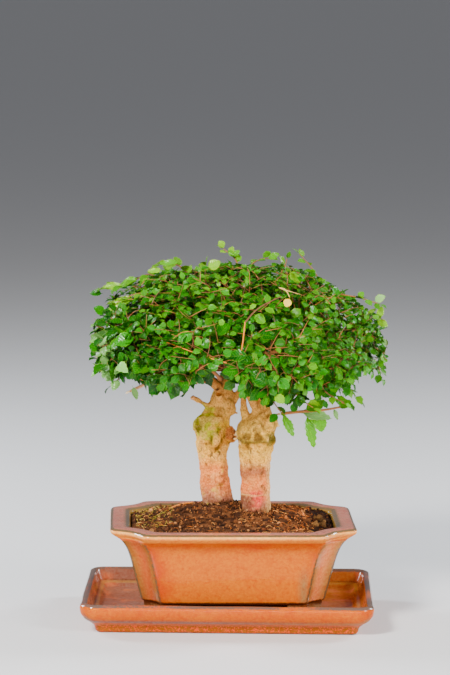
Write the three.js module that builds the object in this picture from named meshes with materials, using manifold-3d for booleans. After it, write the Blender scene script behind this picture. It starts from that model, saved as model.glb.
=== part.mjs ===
// Chinese elm bonsai: two trunks in a glazed pot that stands on a drip tray.
// Units are millimetres and +Z is up. The origin is the centre of the tray's flat underside.
// The tray's long side runs along X, and the side shown to the viewer faces -Y.

import * as THREE from 'three';
import { mergeVertices } from 'three/addons/utils/BufferGeometryUtils.js';
import Module from 'manifold-3d';

const wasm = await Module();
wasm.setup();

// Clearance between pieces that rest on, or stand in, one another
const GAP = 0.3;

// Drip tray
const TRAY_LENGTH = 238;
const TRAY_DEPTH = 162;
const TRAY_HEIGHT = 25;
const TRAY_FLOOR = 10;
const TRAY_FOOT_INSET = 13.3;
const TRAY_FOOT_HEIGHT = 7.2;
const TRAY_CORNER = 12;

// Pot
const POT_LENGTH = 200;
const POT_DEPTH = 156;
const POT_TOP = 82.7;
const POT_TURN = THREE.MathUtils.degToRad(2.7);
const POT_SHIFT = 2.8;
const BODY_BOTTOM = 21.4;
const BODY_TOP = 73.6;
const BASE_HALF_LENGTH = 74.8;
const FLARE = 13;
const SWEEP_UNDER_LIP = 4;
const CORNER_CUT = { base: 14.7, growth: 2.8, dent: 0.28 };
const RIM_WIDTH = 13.5;
const WALL = 7.5;
const FLOOR_THICKNESS = 6.5;
const DRAIN_RADIUS = 5;
const DRAIN_SPACING = 62;

// Soil
const SOIL_EDGE = 77.5;
const SOIL_MOUND = 13.5;
const SOIL_PEAK = { x: 2, y: 19 };
const SOIL_SPREAD = { x: 46, y: 30 };

// Crown: the ellipsoid that the outermost leaves reach
const CROWN = { x: 6, y: 8, z: 215, halfLength: 121, halfDepth: 98, rise: 81, hang: 34 };
const CROWN_MIDDLE_DROP = 25;
const CORE_RADIUS = 27;
const CORE_THICKNESS = 14;
const ROOT_DEPTH = 2.2;
const CORE_MARGIN = 1.5;
const LEAF_LENGTH = 22;
const LEAF_THICKNESS = 0.8;
const LEAVES_PER_SPRAY = 16;
const TWIG_RADIUS = 0.85;

// Limbs: thickness at each end, and where the fork under each shoulder spray lies
const LIMB = { start: 4.2, end: 3, sag: 3.5 };
const BRANCH = { start: 2.9, end: 1.7, sway: 3.5 };
const FORK = { reach: 0.27, height: 209, sway: 3 };
const CUT_TWIG_ENDS = { start: 1.7, end: 1.3 };
const LOW_LIMB_ENDS = { start: 2.2, end: 1.5 };

// Corners finer than this are smoothed away where fused pieces meet
const FINENESS = 0.04;

// Materials

const glaze = new THREE.MeshStandardMaterial({ color: 0xd9723f, roughness: 0.2, metalness: 0, flatShading: true });
const trayGlaze = new THREE.MeshStandardMaterial({ color: 0xc8623a, roughness: 0.2, metalness: 0, flatShading: true });
const earth = new THREE.MeshStandardMaterial({ color: 0x3a2318, roughness: 0.95, metalness: 0, flatShading: true });
const bark = new THREE.MeshStandardMaterial({ color: 0xb98b58, roughness: 0.85, metalness: 0, flatShading: true });
const foliage = new THREE.MeshStandardMaterial({ color: 0x2f8a1e, roughness: 0.45, metalness: 0, flatShading: true });

// Helpers for points, random draws and solids

function point(x, y, z) {
  return new THREE.Vector3(x, y, z);
}

// A seeded generator of numbers from 0 to 1, so that every build draws the same leaves.
function randomFrom(seed) {
  let state = seed >>> 0;
  return () => {
    state = (state + 0x6d2b79f5) >>> 0;
    let mixed = Math.imul(state ^ (state >>> 15), state | 1);
    mixed ^= mixed + Math.imul(mixed ^ (mixed >>> 7), mixed | 61);
    return ((mixed ^ (mixed >>> 14)) >>> 0) / 4294967296;
  };
}

// A closed surface through rings of equally many points. Each ring runs anticlockwise seen from the end
// that the rings lead to, and a fan round the ring's middle closes each end.
function loft(rings) {
  const count = rings[0].length;
  const corners = rings.flat();
  const index = [];
  for (let start = 0; start < (rings.length - 1) * count; start += count) {
    for (let i = 0; i < count; i++) {
      const here = start + i;
      const next = start + (i + 1) % count;
      index.push(here, next, next + count, here, next + count, here + count);
    }
  }
  const lastStart = (rings.length - 1) * count;
  const firstMiddle = corners.push(middleOf(rings[0])) - 1;
  const lastMiddle = corners.push(middleOf(rings[rings.length - 1])) - 1;
  for (let i = 0; i < count; i++) {
    const next = (i + 1) % count;
    index.push(firstMiddle, next, i);
    index.push(lastMiddle, lastStart + i, lastStart + next);
  }
  const geometry = new THREE.BufferGeometry().setFromPoints(corners);
  geometry.setIndex(index);
  return geometry;
}

function middleOf(ring) {
  const sum = ring.reduce((total, corner) => total.add(corner), point(0, 0, 0));
  return sum.divideScalar(ring.length);
}

function solidOf(geometry) {
  const bare = geometry.clone();
  bare.deleteAttribute('normal');
  bare.deleteAttribute('uv');
  const merged = mergeVertices(bare);
  return new wasm.Manifold(new wasm.Mesh({
    numProp: 3,
    vertProperties: new Float32Array(merged.attributes.position.array),
    triVerts: new Uint32Array(merged.index.array),
  }));
}

// Keeps the largest body of a fused solid: loose scraps go, and a hollow sealed inside it is filled.
function mainBody(solid) {
  const bodies = solid.decompose();
  bodies.sort((a, b) => b.volume() - a.volume());
  return bodies[0];
}

function meshOf(name, solid, material) {
  const { numProp, vertProperties, triVerts } = solid.getMesh();
  const corners = [];
  for (let i = 0; i < vertProperties.length; i += numProp) {
    corners.push(point(vertProperties[i], vertProperties[i + 1], vertProperties[i + 2]));
  }
  const geometry = new THREE.BufferGeometry().setFromPoints(corners);
  geometry.setIndex(Array.from(triVerts));
  geometry.computeVertexNormals();
  const mesh = new THREE.Mesh(geometry, material);
  mesh.name = name;
  return mesh;
}

function fuse(solids) {
  return solids.reduce((whole, solid) => whole.add(solid));
}

// A round tapered tube along a smooth curve through the given points.
function taperedTube(through, startRadius, endRadius, sides, steps) {
  const curve = new THREE.CatmullRomCurve3(through);
  const { normals, binormals } = curve.computeFrenetFrames(steps);
  const rings = normals.map((normal, step) => {
    const along = step / steps;
    const radius = THREE.MathUtils.lerp(startRadius, endRadius, along);
    const centre = curve.getPointAt(along);
    return Array.from({ length: sides }, (_, i) => {
      const turn = (2 * Math.PI * i) / sides;
      return centre.clone()
        .addScaledVector(normal, radius * Math.cos(turn))
        .addScaledVector(binormals[step], radius * Math.sin(turn));
    });
  });
  return loft(rings);
}

// Drip tray

function roundedRectangle(halfLength, halfDepth, radius, height) {
  const steps = 3;
  const ring = [];
  for (let corner = 0; corner < 4; corner++) {
    const signX = corner === 0 || corner === 3 ? 1 : -1;
    const signY = corner < 2 ? 1 : -1;
    for (let i = 0; i <= steps; i++) {
      const turn = (Math.PI / 2) * (corner + i / steps);
      ring.push(point(
        signX * (halfLength - radius) + radius * Math.cos(turn),
        signY * (halfDepth - radius) + radius * Math.sin(turn),
        height,
      ));
    }
  }
  return ring;
}

// From the middle of the underside, out under the foot, up the bulging wall, over the rim and down inside.
function makeTray() {
  const profile = [
    { inset: TRAY_FOOT_INSET + 1, height: 0 },
    { inset: TRAY_FOOT_INSET, height: 1 },
    { inset: TRAY_FOOT_INSET - 1.2, height: TRAY_FOOT_HEIGHT - 1.4 },
    { inset: 9.4, height: TRAY_FOOT_HEIGHT + 0.9 },
    { inset: 4.4, height: 11.6 },
    { inset: 1.2, height: 16 },
    { inset: 0, height: 21 },
    { inset: 0.7, height: TRAY_HEIGHT - 1.2 },
    { inset: 2.4, height: TRAY_HEIGHT },
    { inset: 4.4, height: TRAY_HEIGHT - 0.1 },
    { inset: 6, height: TRAY_HEIGHT - 1.6 },
    { inset: 9.6, height: TRAY_FLOOR + 4.6 },
    { inset: 13.4, height: TRAY_FLOOR + 3.4 },
    { inset: 16, height: TRAY_FLOOR },
  ];
  const rings = profile.map(({ inset, height }) => roundedRectangle(
    TRAY_LENGTH / 2 - inset,
    TRAY_DEPTH / 2 - inset,
    Math.max(4, TRAY_CORNER - 0.55 * inset),
    height,
  ));
  return meshOf('tray', solidOf(loft(rings)), trayGlaze);
}

// Pot

// A rectangle whose corners are cut back to a shallow hollow curve, with eased shoulders beside each cut.
function indentedRectangle(halfLength, cut, dent, height) {
  const halfDepth = halfLength - (POT_LENGTH - POT_DEPTH) / 2;
  const shoulder = 1.6;
  const ring = [];
  for (let corner = 0; corner < 4; corner++) {
    const signX = corner === 0 || corner === 3 ? 1 : -1;
    const signY = corner < 2 ? 1 : -1;
    const sideEnd = [halfLength, halfDepth - cut];
    const frontEnd = [halfLength - cut, halfDepth];
    const hollow = [0.08, 0.35, 0.65, 0.92].map((share) => {
      const pull = (4 * dent * share * (1 - share)) / Math.SQRT2;
      return [
        THREE.MathUtils.lerp(sideEnd[0], frontEnd[0], share) - pull,
        THREE.MathUtils.lerp(sideEnd[1], frontEnd[1], share) - pull,
      ];
    });
    const cornerPoints = [
      [sideEnd[0], sideEnd[1] - shoulder],
      ...hollow,
      [frontEnd[0] - shoulder, frontEnd[1]],
    ];
    if (signX !== signY) cornerPoints.reverse();
    for (const [x, y] of cornerPoints) ring.push(point(signX * x, signY * y, height));
  }
  return ring;
}

// Half length of the body's outside: a straight flare that sweeps out under the lip.
function bodyHalfLength(height) {
  const share = (height - BODY_BOTTOM) / (BODY_TOP - BODY_BOTTOM);
  return BASE_HALF_LENGTH + FLARE * share + SWEEP_UNDER_LIP * share ** 8;
}

function bodyRing(height) {
  const share = (height - BODY_BOTTOM) / (BODY_TOP - BODY_BOTTOM);
  const cut = CORNER_CUT.base + CORNER_CUT.growth * share;
  return indentedRectangle(bodyHalfLength(height), cut, CORNER_CUT.dent * cut, height);
}

const CAVITY_FLOOR = BODY_BOTTOM + FLOOR_THICKNESS;
const CAVITY_TOP = POT_TOP - 2;
const CAVITY_HEIGHTS = [CAVITY_TOP, 74, 60, 44, CAVITY_FLOOR + 1.5];

// The cavity follows the outside at the wall's thickness, and its corners are cut almost straight.
function cavityRing(height, inset = 0) {
  const share = (height - CAVITY_FLOOR) / (CAVITY_TOP - CAVITY_FLOOR);
  const outside = bodyHalfLength(Math.min(height, BODY_TOP - 3));
  const halfLength = Math.max(outside - WALL, 0) + (height > BODY_TOP ? 0.8 : 0) - inset;
  const cut = 13 + 9.5 * share - 0.4 * inset;
  return indentedRectangle(halfLength, cut, 3.2, height);
}

function footSolid(signX, signY) {
  const halfLength = BASE_HALF_LENGTH - 2;
  const halfDepth = halfLength - (POT_LENGTH - POT_DEPTH) / 2;
  const cut = 14;
  const run = 15;
  const width = 10;
  const outline = (inset, height) => {
    const corners = [
      [halfLength - inset, halfDepth - cut - run],
      [halfLength - inset, halfDepth - cut],
      [halfLength - cut / 2 - 2.5 - inset, halfDepth - cut / 2 - 2.5 - inset],
      [halfLength - cut, halfDepth - inset],
      [halfLength - cut - run, halfDepth - inset],
      [halfLength - cut - run, halfDepth - width],
      [halfLength - width, halfDepth - cut - run],
    ];
    if (signX !== signY) corners.reverse();
    return corners.map(([x, y]) => point(signX * x, signY * y, height));
  };
  const bottom = TRAY_FLOOR + GAP;
  return solidOf(loft([outline(2.5, bottom), outline(1.2, bottom + 1.2), outline(0, BODY_BOTTOM + 2)]));
}

function drainSolid(side) {
  const drain = new THREE.CylinderGeometry(DRAIN_RADIUS, DRAIN_RADIUS, 3 * FLOOR_THICKNESS, 12);
  drain.rotateX(Math.PI / 2);
  drain.translate((side * DRAIN_SPACING) / 2, 0, BODY_BOTTOM);
  return solidOf(drain);
}

const potPlace = new THREE.Matrix4().makeRotationZ(POT_TURN).setPosition(POT_SHIFT, 0, 0);

function placedInPot(solid) {
  return solid.transform(potPlace.toArray());
}

function makePot() {
  const half = POT_LENGTH / 2;
  const outside = [0.05, 0.45, 0.75, 0.91, 1].map(
    (share) => bodyRing(THREE.MathUtils.lerp(BODY_BOTTOM, BODY_TOP, share)),
  );
  const lip = [
    indentedRectangle(half - 3.6, 24, 6.6, POT_TOP - 6.8),
    indentedRectangle(half - 0.6, 25.6, 7, POT_TOP - 4.8),
    indentedRectangle(half, 26, 7.2, POT_TOP - 2.3),
    indentedRectangle(half - 1.1, 25.8, 7, POT_TOP - 0.5),
    indentedRectangle(half - 3, 25.4, 6.6, POT_TOP),
    indentedRectangle(half - RIM_WIDTH + 0.8, 23.4, 4, POT_TOP),
    indentedRectangle(half - RIM_WIDTH - 0.7, 23, 3.6, POT_TOP - 0.7),
  ];
  const inside = CAVITY_HEIGHTS.map((height) => cavityRing(height));
  const rings = [
    indentedRectangle(BASE_HALF_LENGTH - 1, 14.3, 4, BODY_BOTTOM),
    ...outside,
    ...lip,
    ...inside,
    cavityRing(CAVITY_FLOOR, 1.8),
  ];
  const feet = [[1, 1], [-1, 1], [-1, -1], [1, -1]].map(([signX, signY]) => footSolid(signX, signY));
  const drains = fuse([drainSolid(-1), drainSolid(1)]);
  const pot = fuse([solidOf(loft(rings)), ...feet]).subtract(drains);
  return meshOf('pot', placedInPot(pot), glaze);
}

// Soil

// Height of the soil's surface: mounded round the trunks, with low crumbly lumps.
function soilHeight(x, y) {
  const acrossX = (x - SOIL_PEAK.x) / SOIL_SPREAD.x;
  const acrossY = (y - SOIL_PEAK.y) / SOIL_SPREAD.y;
  const mound = SOIL_MOUND * Math.exp(-(acrossX ** 2 + acrossY ** 2) / 2);
  const lumps = 0.7 * Math.sin(0.31 * x + 1) * Math.sin(0.37 * y) + 0.45 * Math.sin(0.83 * x) * Math.cos(0.71 * y);
  return SOIL_EDGE + mound + lumps;
}

function makeSoil(trunkHoles) {
  const sides = CAVITY_HEIGHTS.slice(1).reverse().map((height) => cavityRing(height, GAP));
  const edge = sides[sides.length - 1];
  const surface = [1, 0.92, 0.76, 0.58, 0.4, 0.2].map((share) => edge.map((corner) => {
    const [x, y] = [corner.x * share, corner.y * share];
    const placed = point(x, y, 0).applyMatrix4(potPlace);
    const height = share === 1 ? SOIL_EDGE - 1.5 : soilHeight(placed.x, placed.y);
    return point(x, y, height);
  }));
  const whole = solidOf(loft([cavityRing(CAVITY_FLOOR + GAP, 1.8 + GAP), ...sides, ...surface]));
  return meshOf('soil', mainBody(placedInPot(whole).subtract(trunkHoles)), earth);
}

// Trunks

// Each station is the middle and half width of the trunk at one height, from the root end to the leader.
const LEFT_TRUNK = {
  depth: 25,
  stations: [
    { z: 56, x: -9, half: 8 },
    { z: 78, x: -9.5, half: 12.8 },
    { z: 91, x: -9.5, half: 13.4 },
    { z: 99, x: -10.5, half: 12.2 },
    { z: 116, x: -12.2, half: 11.8 },
    { z: 130, x: -14, half: 11.4 },
    { z: 142, x: -14, half: 14 },
    { z: 154, x: -14.2, half: 14.6 },
    { z: 163, x: -13, half: 12.4 },
    { z: 176, x: -6.5, half: 10.4 },
    { z: 186, x: -5, half: 7.4 },
    { z: 197, x: -3, half: 5.4 },
    { z: 208, x: 1.5, half: 4.6 },
  ],
  knobs: [
    { x: -23, y: 19, z: 156, radius: 7.5 },
    { x: 0.5, y: 23, z: 148, radius: 6.2 },
    { x: -13, y: 14, z: 145, radius: 7 },
    { x: -2, y: 20, z: 172, radius: 7 },
  ],
  stubs: [
    { from: [-12, 20, 168], to: [-31.6, 17, 180], start: 3.2, end: 2.2 },
    { from: [0, 24, 168], to: [7.7, 22, 165.5], start: 1.2, end: 0.8 },
    { from: [-8, 18, 176], to: [-9, 12.5, 184], start: 4.2, end: 2.8 },
  ],
  leader: [1.5, 25, 206],
};

const RIGHT_TRUNK = {
  depth: 5,
  stations: [
    { z: 56, x: 22.5, half: 8 },
    { z: 76, x: 22.7, half: 11.4 },
    { z: 92, x: 22.5, half: 12.1 },
    { z: 110, x: 22.2, half: 11.6 },
    { z: 127, x: 22, half: 11.8 },
    { z: 138, x: 21.8, half: 14 },
    { z: 148, x: 22.2, half: 15.6 },
    { z: 157, x: 21.8, half: 14.6 },
    { z: 165, x: 21.3, half: 12.4 },
    { z: 173, x: 20.6, half: 8.6 },
    { z: 184, x: 21, half: 5.8 },
    { z: 197, x: 23, half: 4.8 },
  ],
  knobs: [
    { x: 11.5, y: -1, z: 152, radius: 6.6 },
    { x: 33.5, y: 2, z: 160, radius: 6 },
    { x: 23, y: -5, z: 157, radius: 7.5 },
    { x: 34, y: 5, z: 146, radius: 4.5 },
  ],
  stubs: [
    { from: [14, 1, 151], to: [4.5, -1, 151.5], start: 1.3, end: 0.9 },
    { from: [14, 1, 148], to: [3.6, -2, 148], start: 1.3, end: 0.9 },
    { from: [16, 0, 145], to: [7.2, -3, 144.5], start: 1.3, end: 0.9 },
    { from: [34, 3, 163], to: [41.5, 2, 158], start: 1, end: 0.8 },
    { from: [17, -2, 160], to: [31, -6, 172.5], start: 2.2, end: 1.7 },
  ],
  leader: [23, 5, 195],
};

const TRUNK_SIDES = 11;

function trunkRing(trunk, station, extra) {
  return Array.from({ length: TRUNK_SIDES }, (_, i) => {
    const turn = (2 * Math.PI * i) / TRUNK_SIDES;
    const flutes = 1 + 0.05 * Math.sin(3 * turn + 0.09 * station.z) + 0.03 * Math.sin(5 * turn - 0.21 * station.z);
    const radius = station.half * flutes + extra;
    return point(
      station.x + radius * Math.cos(turn),
      trunk.depth + 0.94 * radius * Math.sin(turn),
      station.z,
    );
  });
}

function trunkColumn(trunk, extra) {
  const lowered = trunk.stations.map((station, i) => (i === 0 ? { ...station, z: station.z - extra } : station));
  return solidOf(loft(lowered.map((station) => trunkRing(trunk, station, extra))));
}

function knobSolid({ x, y, z, radius }, extra) {
  const knob = new THREE.IcosahedronGeometry(radius + extra, 1);
  knob.scale(1, 0.9, 1.1);
  knob.translate(x, y, z);
  return solidOf(knob);
}

function limbSolid(through, startRadius, endRadius, extra, steps = 3) {
  const path = through.map((corner) => corner.clone());
  const last = path.length - 1;
  const beyond = path[last].clone().sub(path[last - 1]).setLength(extra);
  path[last].add(beyond);
  return solidOf(taperedTube(path, startRadius + extra, endRadius + extra, 5, steps));
}

// Crown: where each spray sits in the dome of leaves

const SPRAY_RINGS = [
  { name: 'rim', count: 9, start: 10, reach: 0.79, height: 217 },
  { name: 'shoulder', count: 6, start: 30, reach: 0.49, height: 256 },
  { name: 'top', count: 1, start: 90, reach: 0, height: 273 },
];

function crownSprays() {
  const sprays = [];
  for (const { name, count, start, reach, height } of SPRAY_RINGS) {
    for (let i = 0; i < count; i++) {
      const turn = THREE.MathUtils.degToRad(start + (360 * i) / count);
      const sway = 4 * Math.sin(5.1 * i + 2.3 * count);
      const centre = point(
        CROWN.x + (reach * CROWN.halfLength + sway) * Math.cos(turn),
        CROWN.y + (reach * CROWN.halfDepth + sway) * Math.sin(turn),
        height + 0.9 * sway,
      );
      const outward = point(
        (centre.x - CROWN.x) / CROWN.halfLength ** 2,
        (centre.y - CROWN.y) / CROWN.halfDepth ** 2,
        (centre.z - CROWN.z + CROWN_MIDDLE_DROP) / CROWN.rise ** 2,
      ).normalize();
      sprays.push({ name: `spray_${name}_${i + 1}`, ring: name, turn, centre, outward });
    }
  }
  return sprays;
}

// Limbs

// The limb that runs from a trunk to the fork under each shoulder spray, and on from the fork to its sprays.
function limbRoutes(sprays) {
  const shoulders = sprays.filter((spray) => spray.ring === 'shoulder');
  const forks = shoulders.map((spray) => ({
    turn: spray.turn,
    at: point(
      CROWN.x + FORK.reach * CROWN.halfLength * Math.cos(spray.turn),
      CROWN.y + FORK.reach * CROWN.halfDepth * Math.sin(spray.turn),
      FORK.height + FORK.sway * Math.sin(4 * spray.turn + 1),
    ),
    trunk: Math.cos(spray.turn) < -0.1 || Math.sin(spray.turn) > 0.9 ? LEFT_TRUNK : RIGHT_TRUNK,
  }));
  const routes = forks.map(({ at, trunk }) => {
    const head = trunk.stations[trunk.stations.length - 3];
    const start = point(head.x, trunk.depth, head.z - 2);
    const bend = start.clone().lerp(at, 0.5).add(point(0, 0, -LIMB.sag));
    return { trunk, through: [start, bend, at], start: LIMB.start, end: LIMB.end };
  });
  for (const spray of sprays) {
    if (spray.ring === 'top') {
      const trunk = spray.centre.x < CROWN.x + 1 ? LEFT_TRUNK : RIGHT_TRUNK;
      routes.push(branchTo(spray, point(...trunk.leader), trunk));
    } else {
      const nearest = forks.reduce((best, fork) => (
        turnBetween(fork.turn, spray.turn) < turnBetween(best.turn, spray.turn) ? fork : best
      ));
      routes.push(branchTo(spray, nearest.at, nearest.trunk));
    }
  }
  return routes;
}

function turnBetween(a, b) {
  const difference = Math.abs(a - b) % (2 * Math.PI);
  return Math.min(difference, 2 * Math.PI - difference);
}

function branchTo(spray, from, trunk) {
  const end = spray.centre.clone().addScaledVector(spray.outward, -0.25 * CORE_THICKNESS);
  const side = spray.outward.clone().cross(point(0, 0, 1)).setLength(BRANCH.sway * Math.sin(7 * spray.turn));
  const bend = from.clone().lerp(end, 0.5).add(side).add(point(0, 0, spray.ring === 'rim' ? -3 : 1));
  return { trunk, through: [from, bend, end], start: BRANCH.start, end: BRANCH.end };
}

// Two bare limbs that the crown leaves in view: a pale cut twig at the lower left, and the limb that
// carries the hanging shoot at the lower right.
const CUT_TWIG = [[-27, 10, 203], [-61.8, -4, 195.5], [-84.7, -10, 186.4]];
const LOW_LIMB = [[28, 2, 163], [34, -4, 167.5], [42, -9, 170.5]];

function growTrunk(trunk, routes, extra) {
  const limbs = routes
    .filter((route) => route.trunk === trunk)
    .map(({ through, start, end }) => limbSolid(through, start, end, extra));
  const stubs = trunk.stubs.map(({ from, to, start, end }) => {
    const [first, last] = [point(...from), point(...to)];
    const middle = first.clone().lerp(last, 0.5);
    return limbSolid([first, middle, last], start, end, extra, 1);
  });
  const bare = trunk === LEFT_TRUNK
    ? limbSolid(CUT_TWIG.map((corner) => point(...corner)), CUT_TWIG_ENDS.start, CUT_TWIG_ENDS.end, extra)
    : limbSolid(LOW_LIMB.map((corner) => point(...corner)), LOW_LIMB_ENDS.start, LOW_LIMB_ENDS.end, extra);
  const knobs = trunk.knobs.map((knob) => knobSolid(knob, extra));
  return mainBody(fuse([trunkColumn(trunk, extra), ...knobs, ...limbs, ...stubs, bare]));
}

// Leaves

const GOLDEN_ANGLE = Math.PI * (3 - Math.sqrt(5));
const LEAF_TRIES = 45;

// How leaves lie on a core, as shares of a leaf or of the core: the first sits near the pole, the last well
// under the edge. Upper leaves lift and lower ones droop, and each new try lifts and shrinks a leaf a little.
const SHINGLE = {
  firstRise: 0.97,
  riseSpan: 1.35,
  swing: 2.2,
  lift: 0.45,
  droop: 0.3,
  liftPerTry: 0.07,
  shrinkPerTry: 0.012,
  wobble: 0.7,
};
const LEAF_ARCH = { least: 0.04, spread: 0.12 };
const LEAF_SIZE = { least: 0.85, spread: 0.3 };

// How leaves stand along a stem: out to the side on the way, and almost straight on at the tip
const STEM_LEAF = { sideways: 1.2, atTip: 0.15, wobble: 0.5, rise: 0.3, arch: 0.08 };

// Teeth and notches along one edge of a leaf one unit long: distance from the root, and from the midrib.
const LEAF_EDGE = [[0.24, 0.32], [0.45, 0.26], [0.6, 0.34]];

// One arched, toothed leaf. It tapers to a point at its root, and its upper and lower face have the same
// triangles: rows of two points across the midrib, then the tip.
function leafSolid(root, along, face, length, arch, breadth = 1) {
  const across = face.clone().cross(along).normalize();
  const upright = along.clone().cross(across).normalize();
  const rows = [...LEAF_EDGE, [1, 0]];
  const corners = [root.clone()];
  for (const [forward, half] of rows) {
    const sides = half > 0 ? [-half, half] : [0];
    for (const layer of [LEAF_THICKNESS / 2, -LEAF_THICKNESS / 2]) {
      for (const side of sides) {
        corners.push(root.clone()
          .addScaledVector(along, forward * length)
          .addScaledVector(across, side * breadth * length)
          .addScaledVector(upright, 4 * arch * forward * (1 - forward) * length + layer));
      }
    }
  }
  const index = [0, 1, 2, 0, 4, 3, 0, 3, 1, 0, 2, 4];
  for (let row = 1; row < LEAF_EDGE.length; row++) {
    const [a, b, c, d] = [4 * row - 3, 4 * row - 2, 4 * row - 1, 4 * row];
    const [e, f, g, h] = [a + 4, b + 4, c + 4, d + 4];
    index.push(a, e, f, a, f, b, c, d, h, c, h, g);
    index.push(a, c, g, a, g, e, b, f, h, b, h, d);
  }
  const last = 4 * LEAF_EDGE.length - 3;
  const [upperTip, lowerTip] = [last + 4, last + 5];
  index.push(last, upperTip, last + 1, last + 2, last + 3, lowerTip);
  index.push(last, last + 2, lowerTip, last, lowerTip, upperTip);
  index.push(last + 1, upperTip, lowerTip, last + 1, lowerTip, last + 3);
  const geometry = new THREE.BufferGeometry().setFromPoints(corners);
  geometry.setIndex(index);
  return { solid: solidOf(geometry), corners };
}

// Every point of a leaf stays on its own spray's side of the plane halfway to each neighbouring spray.
function staysInCell(corners, spray, sprays) {
  return sprays.every((other) => {
    if (other === spray) return true;
    const away = other.centre.clone().sub(spray.centre);
    const halfway = away.length() / 2 - GAP;
    away.normalize();
    return corners.every((corner) => corner.clone().sub(spray.centre).dot(away) < halfway);
  });
}

function insideCrown(corners) {
  return corners.every((corner) => {
    const height = corner.z - CROWN.z;
    const share = ((corner.x - CROWN.x) / CROWN.halfLength) ** 2
      + ((corner.y - CROWN.y) / CROWN.halfDepth) ** 2
      + (height / (height > 0 ? CROWN.rise : CROWN.hang)) ** 2;
    return share < 1;
  });
}

// The part of space nearer to this spray than to a neighbouring one, less a margin on its own side.
function cellSide(spray, other, margin) {
  const away = other.centre.clone().sub(spray.centre);
  const reach = 60;
  const block = new THREE.BoxGeometry(2 * reach, 2 * reach, 2 * reach);
  block.translate(0, 0, away.length() / 2 - margin - reach);
  block.applyQuaternion(new THREE.Quaternion().setFromUnitVectors(point(0, 0, 1), away.normalize()));
  block.translate(spray.centre.x, spray.centre.y, spray.centre.z);
  return solidOf(block);
}

function coreSolid(spray, sprays, random) {
  const core = mergeVertices(new THREE.IcosahedronGeometry(1, 0).deleteAttribute('normal').deleteAttribute('uv'));
  const place = core.attributes.position;
  for (let i = 0; i < place.count; i++) {
    const swell = 0.9 + 0.2 * random();
    place.setXYZ(i, place.getX(i) * swell, place.getY(i) * swell, place.getZ(i) * swell);
  }
  core.scale(CORE_RADIUS, CORE_RADIUS, CORE_THICKNESS);
  core.applyQuaternion(new THREE.Quaternion().setFromUnitVectors(point(0, 0, 1), spray.outward));
  core.translate(spray.centre.x, spray.centre.y, spray.centre.z);
  return sprays
    .filter((other) => other !== spray && other.centre.distanceTo(spray.centre) < 2.2 * CORE_RADIUS)
    .reduce((solid, other) => solid.intersect(cellSide(spray, other, CORE_MARGIN)), solidOf(core));
}

// The point a little below the core's surface that a leaf grows from, in the given direction.
function rootOnCore(core, centre, direction) {
  const { numProp, vertProperties, triVerts } = core.getMesh();
  const ray = new THREE.Ray(centre, direction);
  const corner = (i) => point(...vertProperties.slice(numProp * triVerts[i], numProp * triVerts[i] + 3));
  for (let i = 0; i < triVerts.length; i += 3) {
    const hit = ray.intersectTriangle(corner(i), corner(i + 1), corner(i + 2), false, point(0, 0, 0));
    if (hit) return hit.addScaledVector(direction, -ROOT_DEPTH);
  }
  return centre.clone();
}

// Leaves spread over the core like shingles, with their bases sunk in it. A leaf that would leave the crown
// or its cell, or cross a limb or another leaf, is drawn again, more upright and smaller each time.
function coreLeaves(spray, sprays, core, limbs, random) {
  const turned = new THREE.Quaternion().setFromUnitVectors(point(0, 0, 1), spray.outward);
  const leaves = [];
  let taken = limbs;
  for (let i = 0; i < LEAVES_PER_SPRAY; i++) {
    const rise = SHINGLE.firstRise - (SHINGLE.riseSpan * i) / LEAVES_PER_SPRAY;
    const turn = GOLDEN_ANGLE * i;
    const flat = Math.sqrt(1 - rise * rise);
    const direction = point(
      CORE_RADIUS * flat * Math.cos(turn),
      CORE_RADIUS * flat * Math.sin(turn),
      CORE_THICKNESS * rise,
    ).applyQuaternion(turned).normalize();
    const base = rootOnCore(core, spray.centre, direction);
    for (let attempt = 0; attempt < LEAF_TRIES; attempt++) {
      const swing = turn + SHINGLE.swing * (random() - 0.5);
      const lift = (rise > 0 ? SHINGLE.lift : -SHINGLE.droop) + SHINGLE.liftPerTry * attempt * random();
      const sideways = point(Math.cos(swing), Math.sin(swing), 0).applyQuaternion(turned);
      const along = sideways.clone().addScaledVector(spray.outward, lift).normalize();
      const face = spray.outward.clone()
        .addScaledVector(sideways, 0.5 - rise)
        .add(point(random() - 0.5, random() - 0.5, random() - 0.5).multiplyScalar(SHINGLE.wobble))
        .normalize();
      if (Math.abs(along.dot(face)) > 0.9) continue;
      const size = LEAF_SIZE.least + LEAF_SIZE.spread * random();
      const length = LEAF_LENGTH * size * (1 - SHINGLE.shrinkPerTry * attempt);
      const leaf = leafSolid(base, along, face, length, LEAF_ARCH.least + LEAF_ARCH.spread * random());
      if (!insideCrown(leaf.corners) || !staysInCell(leaf.corners, spray, sprays)) continue;
      const blade = leaf.solid.subtract(core);
      if (blade.intersect(taken).isEmpty()) {
        leaves.push(leaf.solid);
        taken = taken.add(blade);
        break;
      }
    }
  }
  return leaves;
}

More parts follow.
